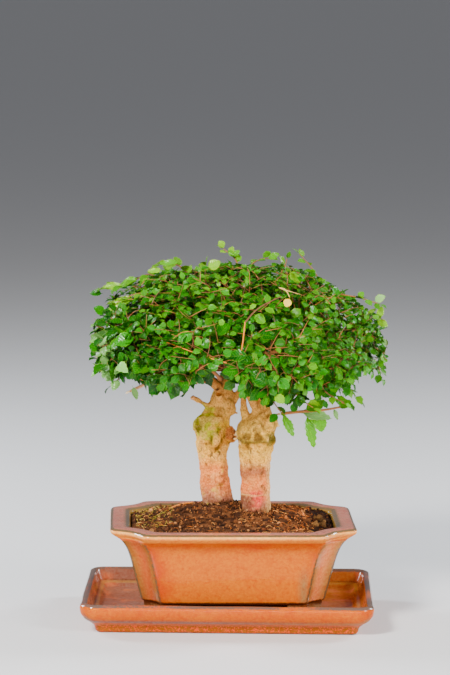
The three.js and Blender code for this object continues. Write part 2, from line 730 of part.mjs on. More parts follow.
// A thin stem through the given points, in as many straight runs as it has leaves. The leaves grow at the
// ends of the runs on alternate sides, and the last one just short of the tip.
function leafyStem({ through, count, leafLength, hang = 0 }, random) {
  const route = through.map((corner) => point(...corner));
  const stem = solidOf(taperedTube(route, TWIG_RADIUS, 0.7 * TWIG_RADIUS, 4, count));
  const curve = new THREE.CatmullRomCurve3(route);
  const leaves = [];
  let taken = null;
  for (let i = 1; i <= count; i++) {
    const along = i / count;
    const base = curve.getPointAt(along);
    if (i === count) base.lerp(curve.getPointAt((i - 1) / count), 0.15);
    const forward = curve.getTangentAt(along);
    const side = point(0, 0, 1).cross(forward).normalize();
    for (let attempt = 0; attempt < LEAF_TRIES; attempt++) {
      const lean = i === count ? STEM_LEAF.atTip : STEM_LEAF.sideways;
      const [swayX, swayY] = [STEM_LEAF.wobble * (random() - 0.5), STEM_LEAF.wobble * (random() - 0.5)];
      const direction = forward.clone()
        .addScaledVector(side, lean * (i % 2 ? 1 : -1))
        .add(point(swayX, swayY, STEM_LEAF.rise - hang))
        .normalize();
      const face = point(STEM_LEAF.wobble * (random() - 0.5), -0.75, 0.65).normalize();
      const length = leafLength * (LEAF_SIZE.least + LEAF_SIZE.spread * random());
      const leaf = leafSolid(base, direction, face, length, STEM_LEAF.arch).solid;
      const blade = leaf.subtract(stem);
      if (!taken || blade.intersect(taken).isEmpty()) {
        leaves.push(leaf);
        taken = taken ? taken.add(blade) : blade;
        break;
      }
    }
  }
  return [stem, ...leaves];
}

// Shoots that stand out of the crown, each fused to the spray that it grows from.
const SHOOTS = {
  spray_top_1: [
    { through: [[0, -2, 276], [-2, -2, 292], [-7, -2, 306]], count: 3, leafLength: 10 },
    { through: [[12, -2, 276], [22, -3, 290], [29, -3, 297]], count: 2, leafLength: 11 },
  ],
  spray_shoulder_1: [{ through: [[62, 28, 256], [64, 26, 282], [56, 24, 300]], count: 4, leafLength: 9 }],
  spray_shoulder_3: [{ through: [[-44, 30, 256], [-78, 30, 281], [-94, 30, 276]], count: 5, leafLength: 15 }],
  spray_rim_1: [
    { through: [[104, 22, 218], [118, 12, 226], [124, 8, 236]], count: 3, leafLength: 10 },
    { through: [[108, 18, 210], [119, 6, 209], [121, 2, 202]], count: 3, leafLength: 11, hang: 0.6 },
  ],
  spray_rim_5: [{ through: [[-92, 22, 215], [-106, 12, 222], [-111, 8, 231]], count: 3, leafLength: 11 }],
};

const HANGING_SHOOT = {
  through: [[42.3, -9.1, 170.6], [60, -12, 173], [78, -12, 174], [95, -10, 178]],
  count: 6,
  leafLength: 13,
  hang: 0.7,
};
const LANCES = [
  { base: [45, -9.6, 171], tip: [52, -13, 154] },
  { base: [63, -12.1, 173.2], tip: [69, -14, 140] },
];

function makeSpray(spray, sprays, limbs, seed) {
  const random = randomFrom(seed);
  const core = coreSolid(spray, sprays, random);
  const leaves = coreLeaves(spray, sprays, core, limbs, random);
  const shoots = (SHOOTS[spray.name] ?? []).flatMap((shoot) => leafyStem(shoot, random));
  const whole = fuse([core, ...leaves, ...shoots]).subtract(limbs);
  return meshOf(spray.name, mainBody(whole.simplify(FINENESS)), foliage);
}

function makeHangingShoot(limbs) {
  const random = randomFrom(77);
  const lances = LANCES.map(({ base, tip }) => {
    const [from, to] = [point(...base), point(...tip)];
    const along = to.clone().sub(from);
    const length = along.length();
    return leafSolid(from, along.normalize(), point(0.2, -1, 0.2).normalize(), length, 0.04, 0.55).solid;
  });
  const whole = fuse([...leafyStem(HANGING_SHOOT, random), ...lances]).subtract(limbs);
  return meshOf('shoot_hanging', mainBody(whole.simplify(FINENESS)), foliage);
}

// The whole plant, pot and tray

const sprays = crownSprays();
const routes = limbRoutes(sprays);
const trunks = [LEFT_TRUNK, RIGHT_TRUNK].map((trunk) => growTrunk(trunk, routes, 0));
const clearance = fuse([LEFT_TRUNK, RIGHT_TRUNK].map((trunk) => growTrunk(trunk, routes, GAP + 0.05)));

const bonsai = new THREE.Group();
bonsai.name = 'chinese_elm_bonsai';
bonsai.add(makeTray());
bonsai.add(makePot());
bonsai.add(makeSoil(clearance));
bonsai.add(meshOf('trunk_left', trunks[0].simplify(FINENESS), bark));
bonsai.add(meshOf('trunk_right', trunks[1].simplify(FINENESS), bark));
sprays.forEach((spray, i) => bonsai.add(makeSpray(spray, sprays, clearance, 1000 + i)));
bonsai.add(makeHangingShoot(clearance));

export default bonsai;
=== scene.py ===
"""Looks of a chinese elm bonsai: leafy crown, barky trunks, crumbly soil, glazed pot and drip tray.

Every length is in metres, and MM turns a figure given in millimetres into metres. +Z is up and the shown
side faces -Y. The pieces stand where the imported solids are, and keep their form.
"""
import math
from itertools import product

import bpy
import numpy as np
from mathutils import Matrix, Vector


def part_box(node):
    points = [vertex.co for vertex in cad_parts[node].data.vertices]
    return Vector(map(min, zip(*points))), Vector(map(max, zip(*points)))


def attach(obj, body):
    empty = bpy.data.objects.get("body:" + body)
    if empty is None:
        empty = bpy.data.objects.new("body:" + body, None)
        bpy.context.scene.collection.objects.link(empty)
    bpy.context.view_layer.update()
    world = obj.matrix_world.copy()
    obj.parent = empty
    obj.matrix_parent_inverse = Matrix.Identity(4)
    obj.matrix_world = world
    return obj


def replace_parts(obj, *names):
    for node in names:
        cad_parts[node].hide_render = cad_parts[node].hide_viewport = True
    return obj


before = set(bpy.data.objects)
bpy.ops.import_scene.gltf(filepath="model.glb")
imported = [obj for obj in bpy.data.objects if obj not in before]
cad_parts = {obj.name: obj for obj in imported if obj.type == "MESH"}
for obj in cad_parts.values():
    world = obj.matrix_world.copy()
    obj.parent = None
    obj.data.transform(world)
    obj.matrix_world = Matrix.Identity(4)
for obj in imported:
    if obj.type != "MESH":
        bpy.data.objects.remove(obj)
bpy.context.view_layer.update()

MM = 0.001
UP = np.array((0.0, 0.0, 1.0))
CORNER_SIGNS = ((1, 1), (-1, 1), (-1, -1), (1, -1))

# Camera, fitted to the outlines of the pot and the tray in an image 450 by 675 pixels
IMAGE_HEIGHT = 675
FOCAL_PIXELS = 3191.8
SENSOR = 36.0
CAMERA_AT = (36.6 * MM, -2583.2 * MM, 569 * MM)
CAMERA_PITCH = math.radians(7.44)
CAMERA_TURN = math.radians(0.9)
CAMERA_ROLL = 0.007

# Tray, from its solid's box
TRAY_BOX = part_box("tray")
TRAY_HALF_LENGTH = TRAY_BOX[1].x
TRAY_HALF_DEPTH = TRAY_BOX[1].y
TRAY_HEIGHT = TRAY_BOX[1].z
TRAY_FLOOR = 10 * MM
TRAY_CORNER = 12 * MM

# Pot: its middle and top come from its solid's box
POT_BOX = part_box("pot")
POT_TOP = POT_BOX[1].z
POT_MIDDLE = (POT_BOX[0].x + POT_BOX[1].x) / 2
POT_TURN = math.radians(2.7)
POT_HALF_LENGTH = 100 * MM
POT_STEP = 22 * MM
BODY_BOTTOM = 21.4 * MM
BODY_TOP = 73.6 * MM
EDGE_ROLL = 1.5 * MM
BASE_HALF_LENGTH = 74.8 * MM
FLARE = 13 * MM
SWEEP_UNDER_LIP = 4 * MM
CUT_AT_BASE = 14.7 * MM
CUT_GROWTH = 2.8 * MM
CUT_DENT = 0.28
WALL = 7.5 * MM
CAVITY_FLOOR = BODY_BOTTOM + 6.5 * MM
CAVITY_TOP = POT_TOP - 2 * MM
CAVITY_LEVELS = (CAVITY_FLOOR + 1.5 * MM, 44 * MM, 60 * MM, 74 * MM)
CAVITY_CUT = 13 * MM
CAVITY_CUT_GROWTH = 9.5 * MM
CAVITY_DENT = 3.2 * MM
CAVITY_STEP = 0.8 * MM
GAP = 0.3 * MM

# Soil
SOIL_EDGE = 77.5 * MM
SOIL_MOUND = 13.5 * MM

# Crown: middle and half sizes of the dome that its leaves fill, and how far it hangs below its middle
CROWN_MIDDLE = np.array((6, 8, 215)) * MM
CROWN_HALF = np.array((121, 98, 81)) * MM
CROWN_HANG = 34 * MM
CROWN_MIDDLE_DROP = 25 * MM
CORE_THICKNESS = 14 * MM
GOLDEN_ANGLE = math.pi * (3 - math.sqrt(5))


# Small helpers

def mm(*values):
    """Figures in millimetres as an array in metres."""
    return np.array(values, float) * MM


def unit(vectors):
    return vectors / np.maximum(np.linalg.norm(vectors, axis=-1, keepdims=True), 1e-12)


def linear(red, green, blue):
    """A colour given as it looks on screen, from 0 to 255, as linear light."""
    screen = np.array((red, green, blue)) / 255
    return np.where(screen < 0.04045, screen / 12.92, ((screen + 0.055) / 1.055) ** 2.4)


def smoothstep(low, high, values):
    share = np.clip((values - low) / (high - low), 0, 1)
    return share * share * (3 - 2 * share)


def hump(values, middle, width):
    """1 at the middle, fading away within about twice the width on each side."""
    return np.exp(-((values - middle) / width) ** 2)


def grain(points, size, seed):
    """A smooth random field from -1 to 1 whose lumps are about the given size across."""
    place = np.asarray(points) / size + 31.7 * seed
    cell = np.floor(place).astype(np.int64)
    ease = place - cell
    ease = ease * ease * (3 - 2 * ease)
    total = np.zeros(len(place))
    for corner in product((0, 1), repeat=3):
        key = (cell + corner) @ np.array((73856093, 19349663, 83492791))
        key = (key ^ (key >> 13)) * 1274126177 & 0xFFFFFFFF
        key = (key ^ (key >> 16)) * 2246822519 & 0xFFFFFFFF
        weight = np.prod(np.where(corner, ease, 1 - ease), axis=1)
        total += weight * (key / 2147483648.0 - 1)
    return total


def smooth_curve(through, count):
    """Points evenly spread along a smooth curve through the given ones."""
    knots = np.asarray(through, float)
    padded = np.vstack([2 * knots[0] - knots[1], knots, 2 * knots[-1] - knots[-2]])
    dense = []
    for i in range(len(knots) - 1):
        a, b, c, d = padded[i:i + 4]
        t = np.linspace(0, 1, 24, endpoint=False)[:, None]
        dense.append(0.5 * (2 * b + (c - a) * t + (2 * a - 5 * b + 4 * c - d) * t ** 2
                            + (3 * b - a - 3 * c + d) * t ** 3))
    dense = np.vstack([*dense, knots[-1:]])
    run = np.concatenate([[0], np.cumsum(np.linalg.norm(np.diff(dense, axis=0), axis=1))])
    wanted = np.linspace(0, run[-1], count)
    return np.stack([np.interp(wanted, run, dense[:, axis]) for axis in range(3)], axis=1)


class Surface:
    """Points, faces and painted values gathered for one mesh."""

    def __init__(self):
        self.points, self.faces, self.paint, self.count = [], [], [], 0

    def add(self, points, faces, paint=(0, 0, 0)):
        self.points.append(points)
        self.faces.extend((np.asarray(faces) + self.count).tolist())
        self.paint.append(np.broadcast_to(np.asarray(paint, float), (len(points), 3)))
        self.count += len(points)

    def merged(self):
        return np.concatenate(self.points), self.faces, np.concatenate(self.paint)


def loft(rings):
    """Points and faces of a skin over rings of equally many points, closed by a fan at each end."""
    rings = np.asarray(rings)
    levels, count = rings.shape[:2]
    start = np.arange(levels - 1)[:, None] * count
    here = np.arange(count)[None]
    following = (here + 1) % count
    quads = np.stack([start + here, start + following, start + count + following, start + count + here], -1)
    points = np.vstack([rings.reshape(-1, 3), rings[0].mean(0), rings[-1].mean(0)])
    last = len(points) - 1
    base = (levels - 1) * count
    faces = quads.reshape(-1, 4).tolist()
    faces += [[last - 1, (i + 1) % count, i] for i in range(count)]
    faces += [[last, base + i, base + (i + 1) % count] for i in range(count)]
    return points, faces


def triangles(faces):
    """Faces of three or four corners, all as triangles."""
    return [part for face in faces
            for part in ([face] if len(face) == 3 else [face[:3], [face[0], *face[2:]]])]


def tube_rings(path, radii, sides):
    """Rings round a path, turned as little as possible from one to the next."""
    along = unit(np.gradient(path, axis=0))
    side = unit(np.cross(along[0], (0.31, 0.52, 0.8)))
    turns = np.linspace(0, 2 * math.pi, sides, endpoint=False)
    rings = []
    for place, direction, radius in zip(path, along, radii):
        side = unit(side - direction * (side @ direction))
        other = np.cross(direction, side)
        rings.append(place + radius * (np.cos(turns)[:, None] * side + np.sin(turns)[:, None] * other))
    return np.array(rings)


def add_tube(surface, path, radii, sides, paint):
    points, faces = loft(tube_rings(path, radii, sides))
    surface.add(points, triangles(faces), paint)


def make_piece(name, points, faces, material, layers, uv=None, sharp=None):
    """A shown piece of the object, with smooth shading and painted values on its points."""
    mesh = bpy.data.meshes.new(name)
    mesh.from_pydata(points, [], faces)
    mesh.shade_smooth()
    if sharp is not None:
        mesh.set_sharp_from_angle(angle=sharp)
    for layer, values in layers.items():
        painted = mesh.color_attributes.new(layer, "FLOAT_COLOR", "POINT")
        opaque = np.column_stack([values, np.ones(len(values))])
        painted.data.foreach_set("color", opaque.astype(np.float32).ravel())
    if uv is not None:
        corners = np.zeros(len(mesh.loops), np.int32)
        mesh.loops.foreach_get("vertex_index", corners)
        mesh.uv_layers.new(name="leaf").data.foreach_set("uv", uv[corners].astype(np.float32).ravel())
    mesh.materials.append(material)
    piece = bpy.data.objects.new(name, mesh)
    bpy.context.scene.collection.objects.link(piece)
    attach(piece, "root")
    return piece


# Materials

class Shader:
    """A short way to write a procedural material's nodes."""

    def __init__(self, name, roughness, specular):
        self.material = bpy.data.materials.new(name)
        self.material.use_nodes = True
        self.nodes = self.material.node_tree.nodes
        self.links = self.material.node_tree.links
        self.surface = self.nodes["Principled BSDF"]
        self.surface.inputs["Roughness"].default_value = roughness
        self.surface.inputs["Specular IOR Level"].default_value = specular

    def node(self, kind, settings=None, **inputs):
        made = self.nodes.new(kind)
        for key, value in (settings or {}).items():
            setattr(made, key, value)
        for key, value in inputs.items():
            socket = made.inputs[int(key[1:])] if key[0] == "i" and key[1:].isdigit() else made.inputs[key]
            self.feed(socket, value)
        return made

    def feed(self, socket, value):
        if isinstance(value, bpy.types.NodeSocket):
            self.links.new(value, socket)
        elif np.ndim(value) == 1 and len(value) == 3 and len(socket.default_value) == 4:
            socket.default_value = (*value, 1)
        else:
            socket.default_value = value

    def place(self):
        return self.node("ShaderNodeTexCoord").outputs["Object"]

    def noise(self, size, detail=3, stretch=(1, 1, 1)):
        """Noise from 0 to 1 with lumps of about the given size in metres."""
        scaled = self.node("ShaderNodeMapping", i0=self.place(), i3=[1 / (size * s) for s in stretch])
        return self.node("ShaderNodeTexNoise", Vector=scaled.outputs[0], Scale=1.0, Detail=detail,
                         Roughness=0.55).outputs["Fac"]

    def cells(self, size):
        """How far each point is from the middle of its cell, in cell sizes."""
        scaled = self.node("ShaderNodeMapping", i0=self.place(), i3=[1 / size] * 3)
        return self.node("ShaderNodeTexVoronoi", Vector=scaled.outputs[0], Scale=1.0).outputs["Distance"]

    def ramp(self, value, low, high):
        """0 under low, 1 over high and smooth between."""
        settings = {"interpolation_type": "SMOOTHSTEP"}
        made = self.node("ShaderNodeMapRange", settings, i0=value, i1=low, i2=high)
        return made.outputs[0]

    def patches(self, size, detail, low, high, stretch=(1, 1, 1)):
        """Soft-edged patches of about the given size, where the noise passes from low to high."""
        return self.ramp(self.noise(size, detail, stretch), low, high)

    def math(self, operation, first, second=0.0):
        return self.node("ShaderNodeMath", {"operation": operation}, i0=first, i1=second).outputs[0]

    def times(self, first, second):
        return self.math("MULTIPLY", first, second)

    def plus(self, first, second):
        return self.math("ADD", first, second)

    def minus(self, first, second):
        return self.math("SUBTRACT", first, second)

    def mix(self, share, first, second, blend="MIX"):
        made = self.node("ShaderNodeMix", {"data_type": "RGBA", "blend_type": blend}, i0=share)
        self.feed(made.inputs[6], first)
        self.feed(made.inputs[7], second)
        return made.outputs[2]

    def tint(self, share, colour, factors):
        """The colour multiplied by the factors where the share is 1."""
        return self.mix(share, colour, factors, "MULTIPLY")

    def painted(self, layer="colour"):
        """A painted layer of the mesh as a colour."""
        return self.node("ShaderNodeAttribute", {"attribute_name": layer}).outputs["Color"]

    def marks(self):
        """The three painted values of the mesh's layer of marks."""
        parts = self.node("ShaderNodeSeparateColor", i0=self.painted("marks")).outputs
        return parts[0], parts[1], parts[2]

    def finish(self, colour, bump=None, height=0.0002, strength=0.6, roughness=None):
        self.feed(self.surface.inputs["Base Color"], colour)
        if roughness is not None:
            self.feed(self.surface.inputs["Roughness"], roughness)
        if bump is not None:
            raised = self.node("ShaderNodeBump", Strength=strength, Distance=height, Height=bump)
            self.links.new(raised.outputs[0], self.surface.inputs["Normal"])
        return self.material


# Fine marks of the materials. A tint multiplies the colour below it.
GLAZE_ROUGHNESS = (0.035, 0.14)
GLAZE_MOTTLE = 2.2 * MM
MOTTLE_TINT = (1.12, 1.5, 1.6)
BURNT_TINT = (0.88, 0.55, 0.4)
SPECK_BROWN = (0.12, 0.025, 0.006)
SPOT_RED = (0.8, 0.08, 0.012)
SHADOW_BROWN = (0.08, 0.02, 0.006)
POT_THIN = (0.13, 0.08, 0.035)
TRAY_THIN = (0.13, 0.075, 0.055)
PORE_TINT = (0.7, 0.56, 0.42)
CRACK_BROWN = (0.085, 0.035, 0.014)
FLAKE_CREAM = (0.95, 0.56, 0.2)
TWIG_TINT = (1.5, 1.4, 1.25)
CRUMB_TINT = (1.85, 1.65, 1.35)
VEINS = 7.0
VEIN_SLANT = 0.42
VEIN_TINT = (2.4, 1.6, 1.2)
VEIN_GREEN = (0.28, 0.5, 0.02)
BLOTCH_TINT = (1.35, 1.15, 1.1)


def glaze_material(name, thin_colour):
    """Glaze over painted broad colours. Marks: red is thin glaze on an edge, green is painted shade, blue
    speckled.
    """
    shader = Shader(name, 0.15, 0.11)
    shader.surface.inputs["Coat Roughness"].default_value = 0.04
    edge, painted_shade, speckled = shader.marks()
    shader.feed(shader.surface.inputs["Coat Weight"], shader.times(shader.ramp(edge, 0.05, 0.45), 0.8))
    mottle = shader.patches(GLAZE_MOTTLE, 5, 0.38, 0.66)
    colour = shader.tint(shader.times(mottle, 0.7), shader.painted(), MOTTLE_TINT)
    burnt = shader.patches(4.5 * MM, 6, 0.5, 0.68)
    colour = shader.tint(shader.times(burnt, 0.6), colour, BURNT_TINT)
    ragged = shader.plus(edge, shader.times(shader.noise(GLAZE_MOTTLE, 5), 0.8))
    colour = shader.mix(shader.ramp(ragged, 0.82, 1.12), colour, thin_colour)
    speck = shader.ramp(shader.cells(1.7 * MM), 0.18, 0.08)
    speck = shader.times(speck, shader.patches(5 * MM, 2, 0.42, 0.58))
    colour = shader.mix(shader.times(speck, 0.6), colour, SPECK_BROWN)
    spots = shader.times(shader.patches(1.5 * MM, 4, 0.5, 0.6), speckled)
    colour = shader.mix(spots, colour, SPOT_RED)
    # Painted shade: the green mark turns the glaze shadow brown under the pot's lip, along bottom edges and
    # at the tray's inner step
    shadow = shader.plus(painted_shade, shader.times(shader.noise(2 * MM, 4), 0.5))
    colour = shader.mix(shader.ramp(shadow, 0.75, 1.15), colour, SHADOW_BROWN)
    ripple = shader.plus(shader.noise(9 * MM, 2), shader.times(shader.noise(1.6 * MM, 3), 0.12))
    glossy, dull = GLAZE_ROUGHNESS
    rough = shader.node("ShaderNodeMapRange", i0=shader.noise(7 * MM, 3), i1=0.3, i2=0.7, i3=glossy, i4=dull)
    return shader.finish(colour, ripple, 1.1 * MM, 0.4, rough.outputs[0])


def bark_material():
    """Bark takes its broad colours from the paint, broken up by flakes, pores and fine grain."""
    shader = Shader("bark", 0.85, 0.12)
    fine = shader.patches(1.5 * MM, 6, 0.36, 0.62)
    colour = shader.tint(shader.minus(1.0, fine), shader.painted(), PORE_TINT)
    crack = shader.patches(3.2 * MM, 5, 0.42, 0.3, stretch=(1, 1, 1.6))
    colour = shader.mix(shader.times(crack, 0.8), colour, CRACK_BROWN)
    flake = shader.patches(4.2 * MM, 4, 0.55, 0.68)
    colour = shader.mix(shader.times(flake, 0.18), colour, FLAKE_CREAM)
    bump = shader.plus(shader.noise(1.2 * MM, 5), shader.times(shader.noise(3.2 * MM, 4), 1.6))
    return shader.finish(colour, bump, 0.7 * MM, 0.75)


def twig_material():
    shader = Shader("twig", 0.6, 0.35)
    fine = shader.patches(1.2 * MM, 4, 0.3, 0.7)
    colour = shader.tint(shader.times(fine, 0.6), shader.painted(), TWIG_TINT)
    return shader.finish(colour, shader.noise(0.8 * MM, 3), 0.2 * MM, 0.6)


def soil_material():
    shader = Shader("soil", 0.95, 0.08)
    colour = shader.tint(shader.patches(1.1 * MM, 5, 0.3, 0.72), shader.painted(), CRUMB_TINT)
    bump = shader.plus(shader.noise(0.7 * MM, 4), shader.noise(2.2 * MM, 3))
    return shader.finish(colour, bump, 0.5 * MM, 0.8)


def leaf_material():
    """A leaf's own painted colour, with paler side veins and midrib, and a painted highlight along its edge.
    """
    shader = Shader("leaf", 0.17, 0.2)
    colour = shader.painted()
    parts = shader.node("ShaderNodeSeparateXYZ", i0=shader.node("ShaderNodeTexCoord").outputs["UV"]).outputs
    along = parts[0]
    across = shader.math("ABSOLUTE", shader.minus(parts[1], 0.5))
    slant = shader.minus(along, shader.times(across, VEIN_SLANT))
    repeat = shader.math("FRACT", shader.times(slant, VEINS))
    wave = shader.math("ABSOLUTE", shader.minus(repeat, 0.5))
    vein = shader.math("MAXIMUM", shader.ramp(wave, 0.12, 0.02), shader.ramp(across, 0.04, 0.012))
    pale = shader.mix(0.3, shader.tint(1.0, colour, VEIN_TINT), VEIN_GREEN)
    colour = shader.mix(shader.times(vein, 0.4), colour, pale)
    # Painted highlight: a pale band along the leaf's edge
    colour = shader.mix(shader.times(shader.ramp(across, 0.42, 0.49), 0.75), colour, pale)
    blotch = shader.patches(3 * MM, 3, 0.35, 0.7)
    colour = shader.tint(shader.times(blotch, 0.5), colour, BLOTCH_TINT)
    bump = shader.minus(shader.times(wave, 1.6), vein)
    return shader.finish(colour, bump, 0.2 * MM, 0.7)


GLAZE_POT = glaze_material("pot_glaze", POT_THIN)
GLAZE_TRAY = glaze_material("tray_glaze", TRAY_THIN)
BARK = bark_material()
TWIG = twig_material()
SOIL = soil_material()
LEAF = leaf_material()


# Pot

HOLLOW_POINTS = 13
SIDE_POINTS = 30


def eased(ring, passes):
    """A closed ring of points with its corners rounded off."""
    for _ in range(passes):
        ring = (np.roll(ring, 1, axis=0) + 2 * ring + np.roll(ring, -1, axis=0)) / 4
    return ring


def joined(corners, passes):
    """One closed ring through the points of all four corners, with closer points towards the corners."""
    run = (1 - np.cos(np.linspace(0, math.pi, SIDE_POINTS + 2)[1:-1])) / 2
    ring = []
    for here, following in zip(corners, corners[1:] + corners[:1]):
        ring += [here, here[-1] + run[:, None] * (following[0] - here[-1])]
    return eased(np.concatenate(ring), passes)


def indented_outline(half_length, cut, dent):
    """Plan of the pot at one level: a rectangle whose corners are cut back to a shallow hollow."""
    half_depth = half_length - POT_STEP
    share = np.linspace(0, 1, HOLLOW_POINTS)
    pull = 4 * dent * share * (1 - share) / math.sqrt(2)
    corner = np.stack([half_length - cut * share - pull, half_depth - cut * (1 - share) - pull], axis=1)
    corners = []
    for sign_x, sign_y in CORNER_SIGNS:
        placed = corner * (sign_x, sign_y)
        corners.append(placed if sign_x == sign_y else placed[::-1])
    return joined(corners, 14)


def body_half_length(height):
    share = (height - BODY_BOTTOM) / (BODY_TOP - BODY_BOTTOM)
    return BASE_HALF_LENGTH + FLARE * share + SWEEP_UNDER_LIP * share ** 8


def body_cut(height):
    return CUT_AT_BASE + CUT_GROWTH * (height - BODY_BOTTOM) / (BODY_TOP - BODY_BOTTOM)


def cavity_row(height, inset=0.0):
    """Half length, corner cut, dent and height of the cavity at one level."""
    share = (height - CAVITY_FLOOR) / (CAVITY_TOP - CAVITY_FLOOR)
    step = CAVITY_STEP if height > BODY_TOP else 0
    half = body_half_length(min(height, BODY_TOP - 3 * MM)) - WALL + step - inset
    return [half, CAVITY_CUT + CAVITY_CUT_GROWTH * share - 0.4 * inset, CAVITY_DENT, height]


def dense_rows(rows, spacing, passes):
    """Rows of a profile filled in at an even spacing, with its bends rounded off."""
    rows = np.array(rows, float)
    step = np.linalg.norm(np.diff(rows[:, [0, -1]], axis=0), axis=1)
    run = np.concatenate([[0], np.cumsum(step)])
    wanted = np.linspace(0, run[-1], int(run[-1] / spacing))
    filled = np.stack([np.interp(wanted, run, rows[:, column]) for column in range(rows.shape[1])], axis=1)
    for _ in range(passes):
        filled[1:-1] = (filled[:-2] + 2 * filled[1:-1] + filled[2:]) / 4
    return filled


def in_pot(points):
    """Points of the pot's own plan, turned and shifted to where the pot stands."""
    c, s = math.cos(POT_TURN), math.sin(POT_TURN)
    turned = np.array(points, float)
    turned[..., 0] = c * points[..., 0] - s * points[..., 1] + POT_MIDDLE
    turned[..., 1] = s * points[..., 0] + c * points[..., 1]
    return turned


def ring_at(half, cut, dent, height):
    outline = indented_outline(half, cut, dent)
    return np.column_stack([outline, np.full(len(outline), height)])


# Lip, from its underside over its top and inward: inset, corner cut, dent and drop, in millimetres
LIP = [(3.6, 24, 6.6, 6.8), (0.6, 25.6, 7, 4.8), (-0.4, 26, 7.2, 3.4), (-0.4, 26, 7.2, 2.0),
       (0.9, 25.8, 7, 0.5), (3, 25.4, 6.6, 0), (12.7, 23.4, 4, 0), (14.2, 23, 3.6, 0.7)]


def pot_rows():
    """The pot's profile up the outside, over the lip and down the inside, in rows like cavity_row's."""
    rows = [[0.5 * BASE_HALF_LENGTH + 20 * MM, 12 * MM, 3 * MM, BODY_BOTTOM]]
    for inset, roll in ((6, 0), (4.5, EDGE_ROLL), (1.2, EDGE_ROLL)):
        rows.append([BASE_HALF_LENGTH - inset * MM, 14.3 * MM, 4 * MM, BODY_BOTTOM - roll])
    for height in np.linspace(BODY_BOTTOM + 1.5 * MM, BODY_TOP, 18):
        cut = body_cut(height)
        rows.append([body_half_length(height), cut, CUT_DENT * cut, height])
    rows += [[POT_HALF_LENGTH - inset * MM, cut * MM, dent * MM, POT_TOP - drop * MM]
             for inset, cut, dent, drop in LIP]
    rows += [cavity_row(height) for height in (CAVITY_TOP, *CAVITY_LEVELS[::-1])]
    rows.append(cavity_row(CAVITY_FLOOR, 1.8 * MM))
    return rows


def foot_shape(sign_x, sign_y):
    """One low corner foot, bent round the corner of the base."""
    half_length = BASE_HALF_LENGTH - 2 * MM
    half_depth = half_length - POT_STEP
    cut, run, width = mm(14, 15, 10)
    bevel = cut / 2 + 2.5 * MM
    rings = []
    for inset, height in ((2.5 * MM, TRAY_FLOOR + GAP), (1.2 * MM, TRAY_FLOOR + GAP + 1.2 * MM),
                          (0, BODY_BOTTOM + 2 * MM)):
        side, front = half_length - inset, half_depth - inset
        corners = [(side, half_depth - cut - run), (side, half_depth - cut),
                   (half_length - bevel - inset, half_depth - bevel - inset), (half_length - cut, front),
                   (half_length - cut - run, front), (half_length - cut - run, half_depth - width),
                   (half_length - width, half_depth - cut - run)]
        if sign_x != sign_y:
            corners.reverse()
        rings.append([(sign_x * x, sign_y * y, height) for x, y in corners])
    return loft(np.array(rings))


def boolean(target, cutter, operation):
    """Joins or cuts a mesh object with another one, which is then removed."""
    change = target.modifiers.new("join", "BOOLEAN")
    change.operation = operation
    change.solver = "EXACT"
    change.object = cutter
    result = bpy.data.meshes.new_from_object(target.evaluated_get(bpy.context.evaluated_depsgraph_get()))
    target.modifiers.clear()
    target.data = result
    bpy.data.objects.remove(cutter)


def loose_object(name, points, faces):
    mesh = bpy.data.meshes.new(name)
    mesh.from_pydata(points, [], faces)
    made = bpy.data.objects.new(name, mesh)
    bpy.context.scene.collection.objects.link(made)
    return made


def ridge_share(points, reach=2.4 * MM):
    """How near points of the pot's own plan are to the shoulders that run up beside its hollow corners."""
    height = np.clip(points[:, 2], BODY_BOTTOM, POT_TOP)
    body = height < BODY_TOP
    half = np.where(body, body_half_length(height), POT_HALF_LENGTH - 1 * MM)
    cut = np.where(body, body_cut(height), 25 * MM)
    flat = np.abs(points[:, :2])
    side_end = np.stack([half, half - POT_STEP - cut], axis=1)
    front_end = np.stack([half - cut, half - POT_STEP], axis=1)
    near_side = np.linalg.norm(flat - side_end, axis=1)
    near_front = np.linalg.norm(flat - front_end, axis=1)
    return np.exp(-(np.minimum(near_side, near_front) / reach) ** 2)


# Share of the pot's rows that lie on its outside, and the relief there
OUTSIDE_SHARE = 0.56
WALL_WAVE = 0.3 * MM
RIDGE_HEIGHT = 0.8 * MM
DRAIN_PLACE = 31 * MM
DRAIN_RADIUS = 5 * MM


def make_pot():
    """The pot in one piece with its four feet, with two drain holes in its floor."""
    rows = dense_rows(pot_rows(), 1.3 * MM, 2)
    rings = np.array([ring_at(*row) for row in rows])
    flat = rings.reshape(-1, 3)
    outside = np.repeat(np.arange(len(rows)) < OUTSIDE_SHARE * len(rows), rings.shape[1])
    raised = WALL_WAVE * grain(flat, 38 * MM, 3) + RIDGE_HEIGHT * ridge_share(flat) * outside
    flat[:, :2] += unit(flat[:, :2]) * raised[:, None]
    whole = loose_object("pot_whole", *loft(flat.reshape(rings.shape)))
    for sign_x, sign_y in CORNER_SIGNS:
        boolean(whole, loose_object("pot_foot", *foot_shape(sign_x, sign_y)), "UNION")
    for side in (-1, 1):
        heights = np.linspace(BODY_BOTTOM - 8 * MM, CAVITY_FLOOR + 8 * MM, 4)
        path = np.column_stack([np.full(4, side * DRAIN_PLACE), np.zeros(4), heights])
        drain = loft(tube_rings(path, np.full(4, DRAIN_RADIUS), 24))
        boolean(whole, loose_object("drain", *drain), "DIFFERENCE")
    points, normals, faces = mesh_arrays(whole.data)
    bpy.data.objects.remove(whole)
    layers = {"colour": pot_colour(points, normals), "marks": pot_marks(points, normals)}
    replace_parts(make_piece("pot_glazed", in_pot(points), faces, GLAZE_POT, layers,
                           sharp=math.radians(50)), "pot")


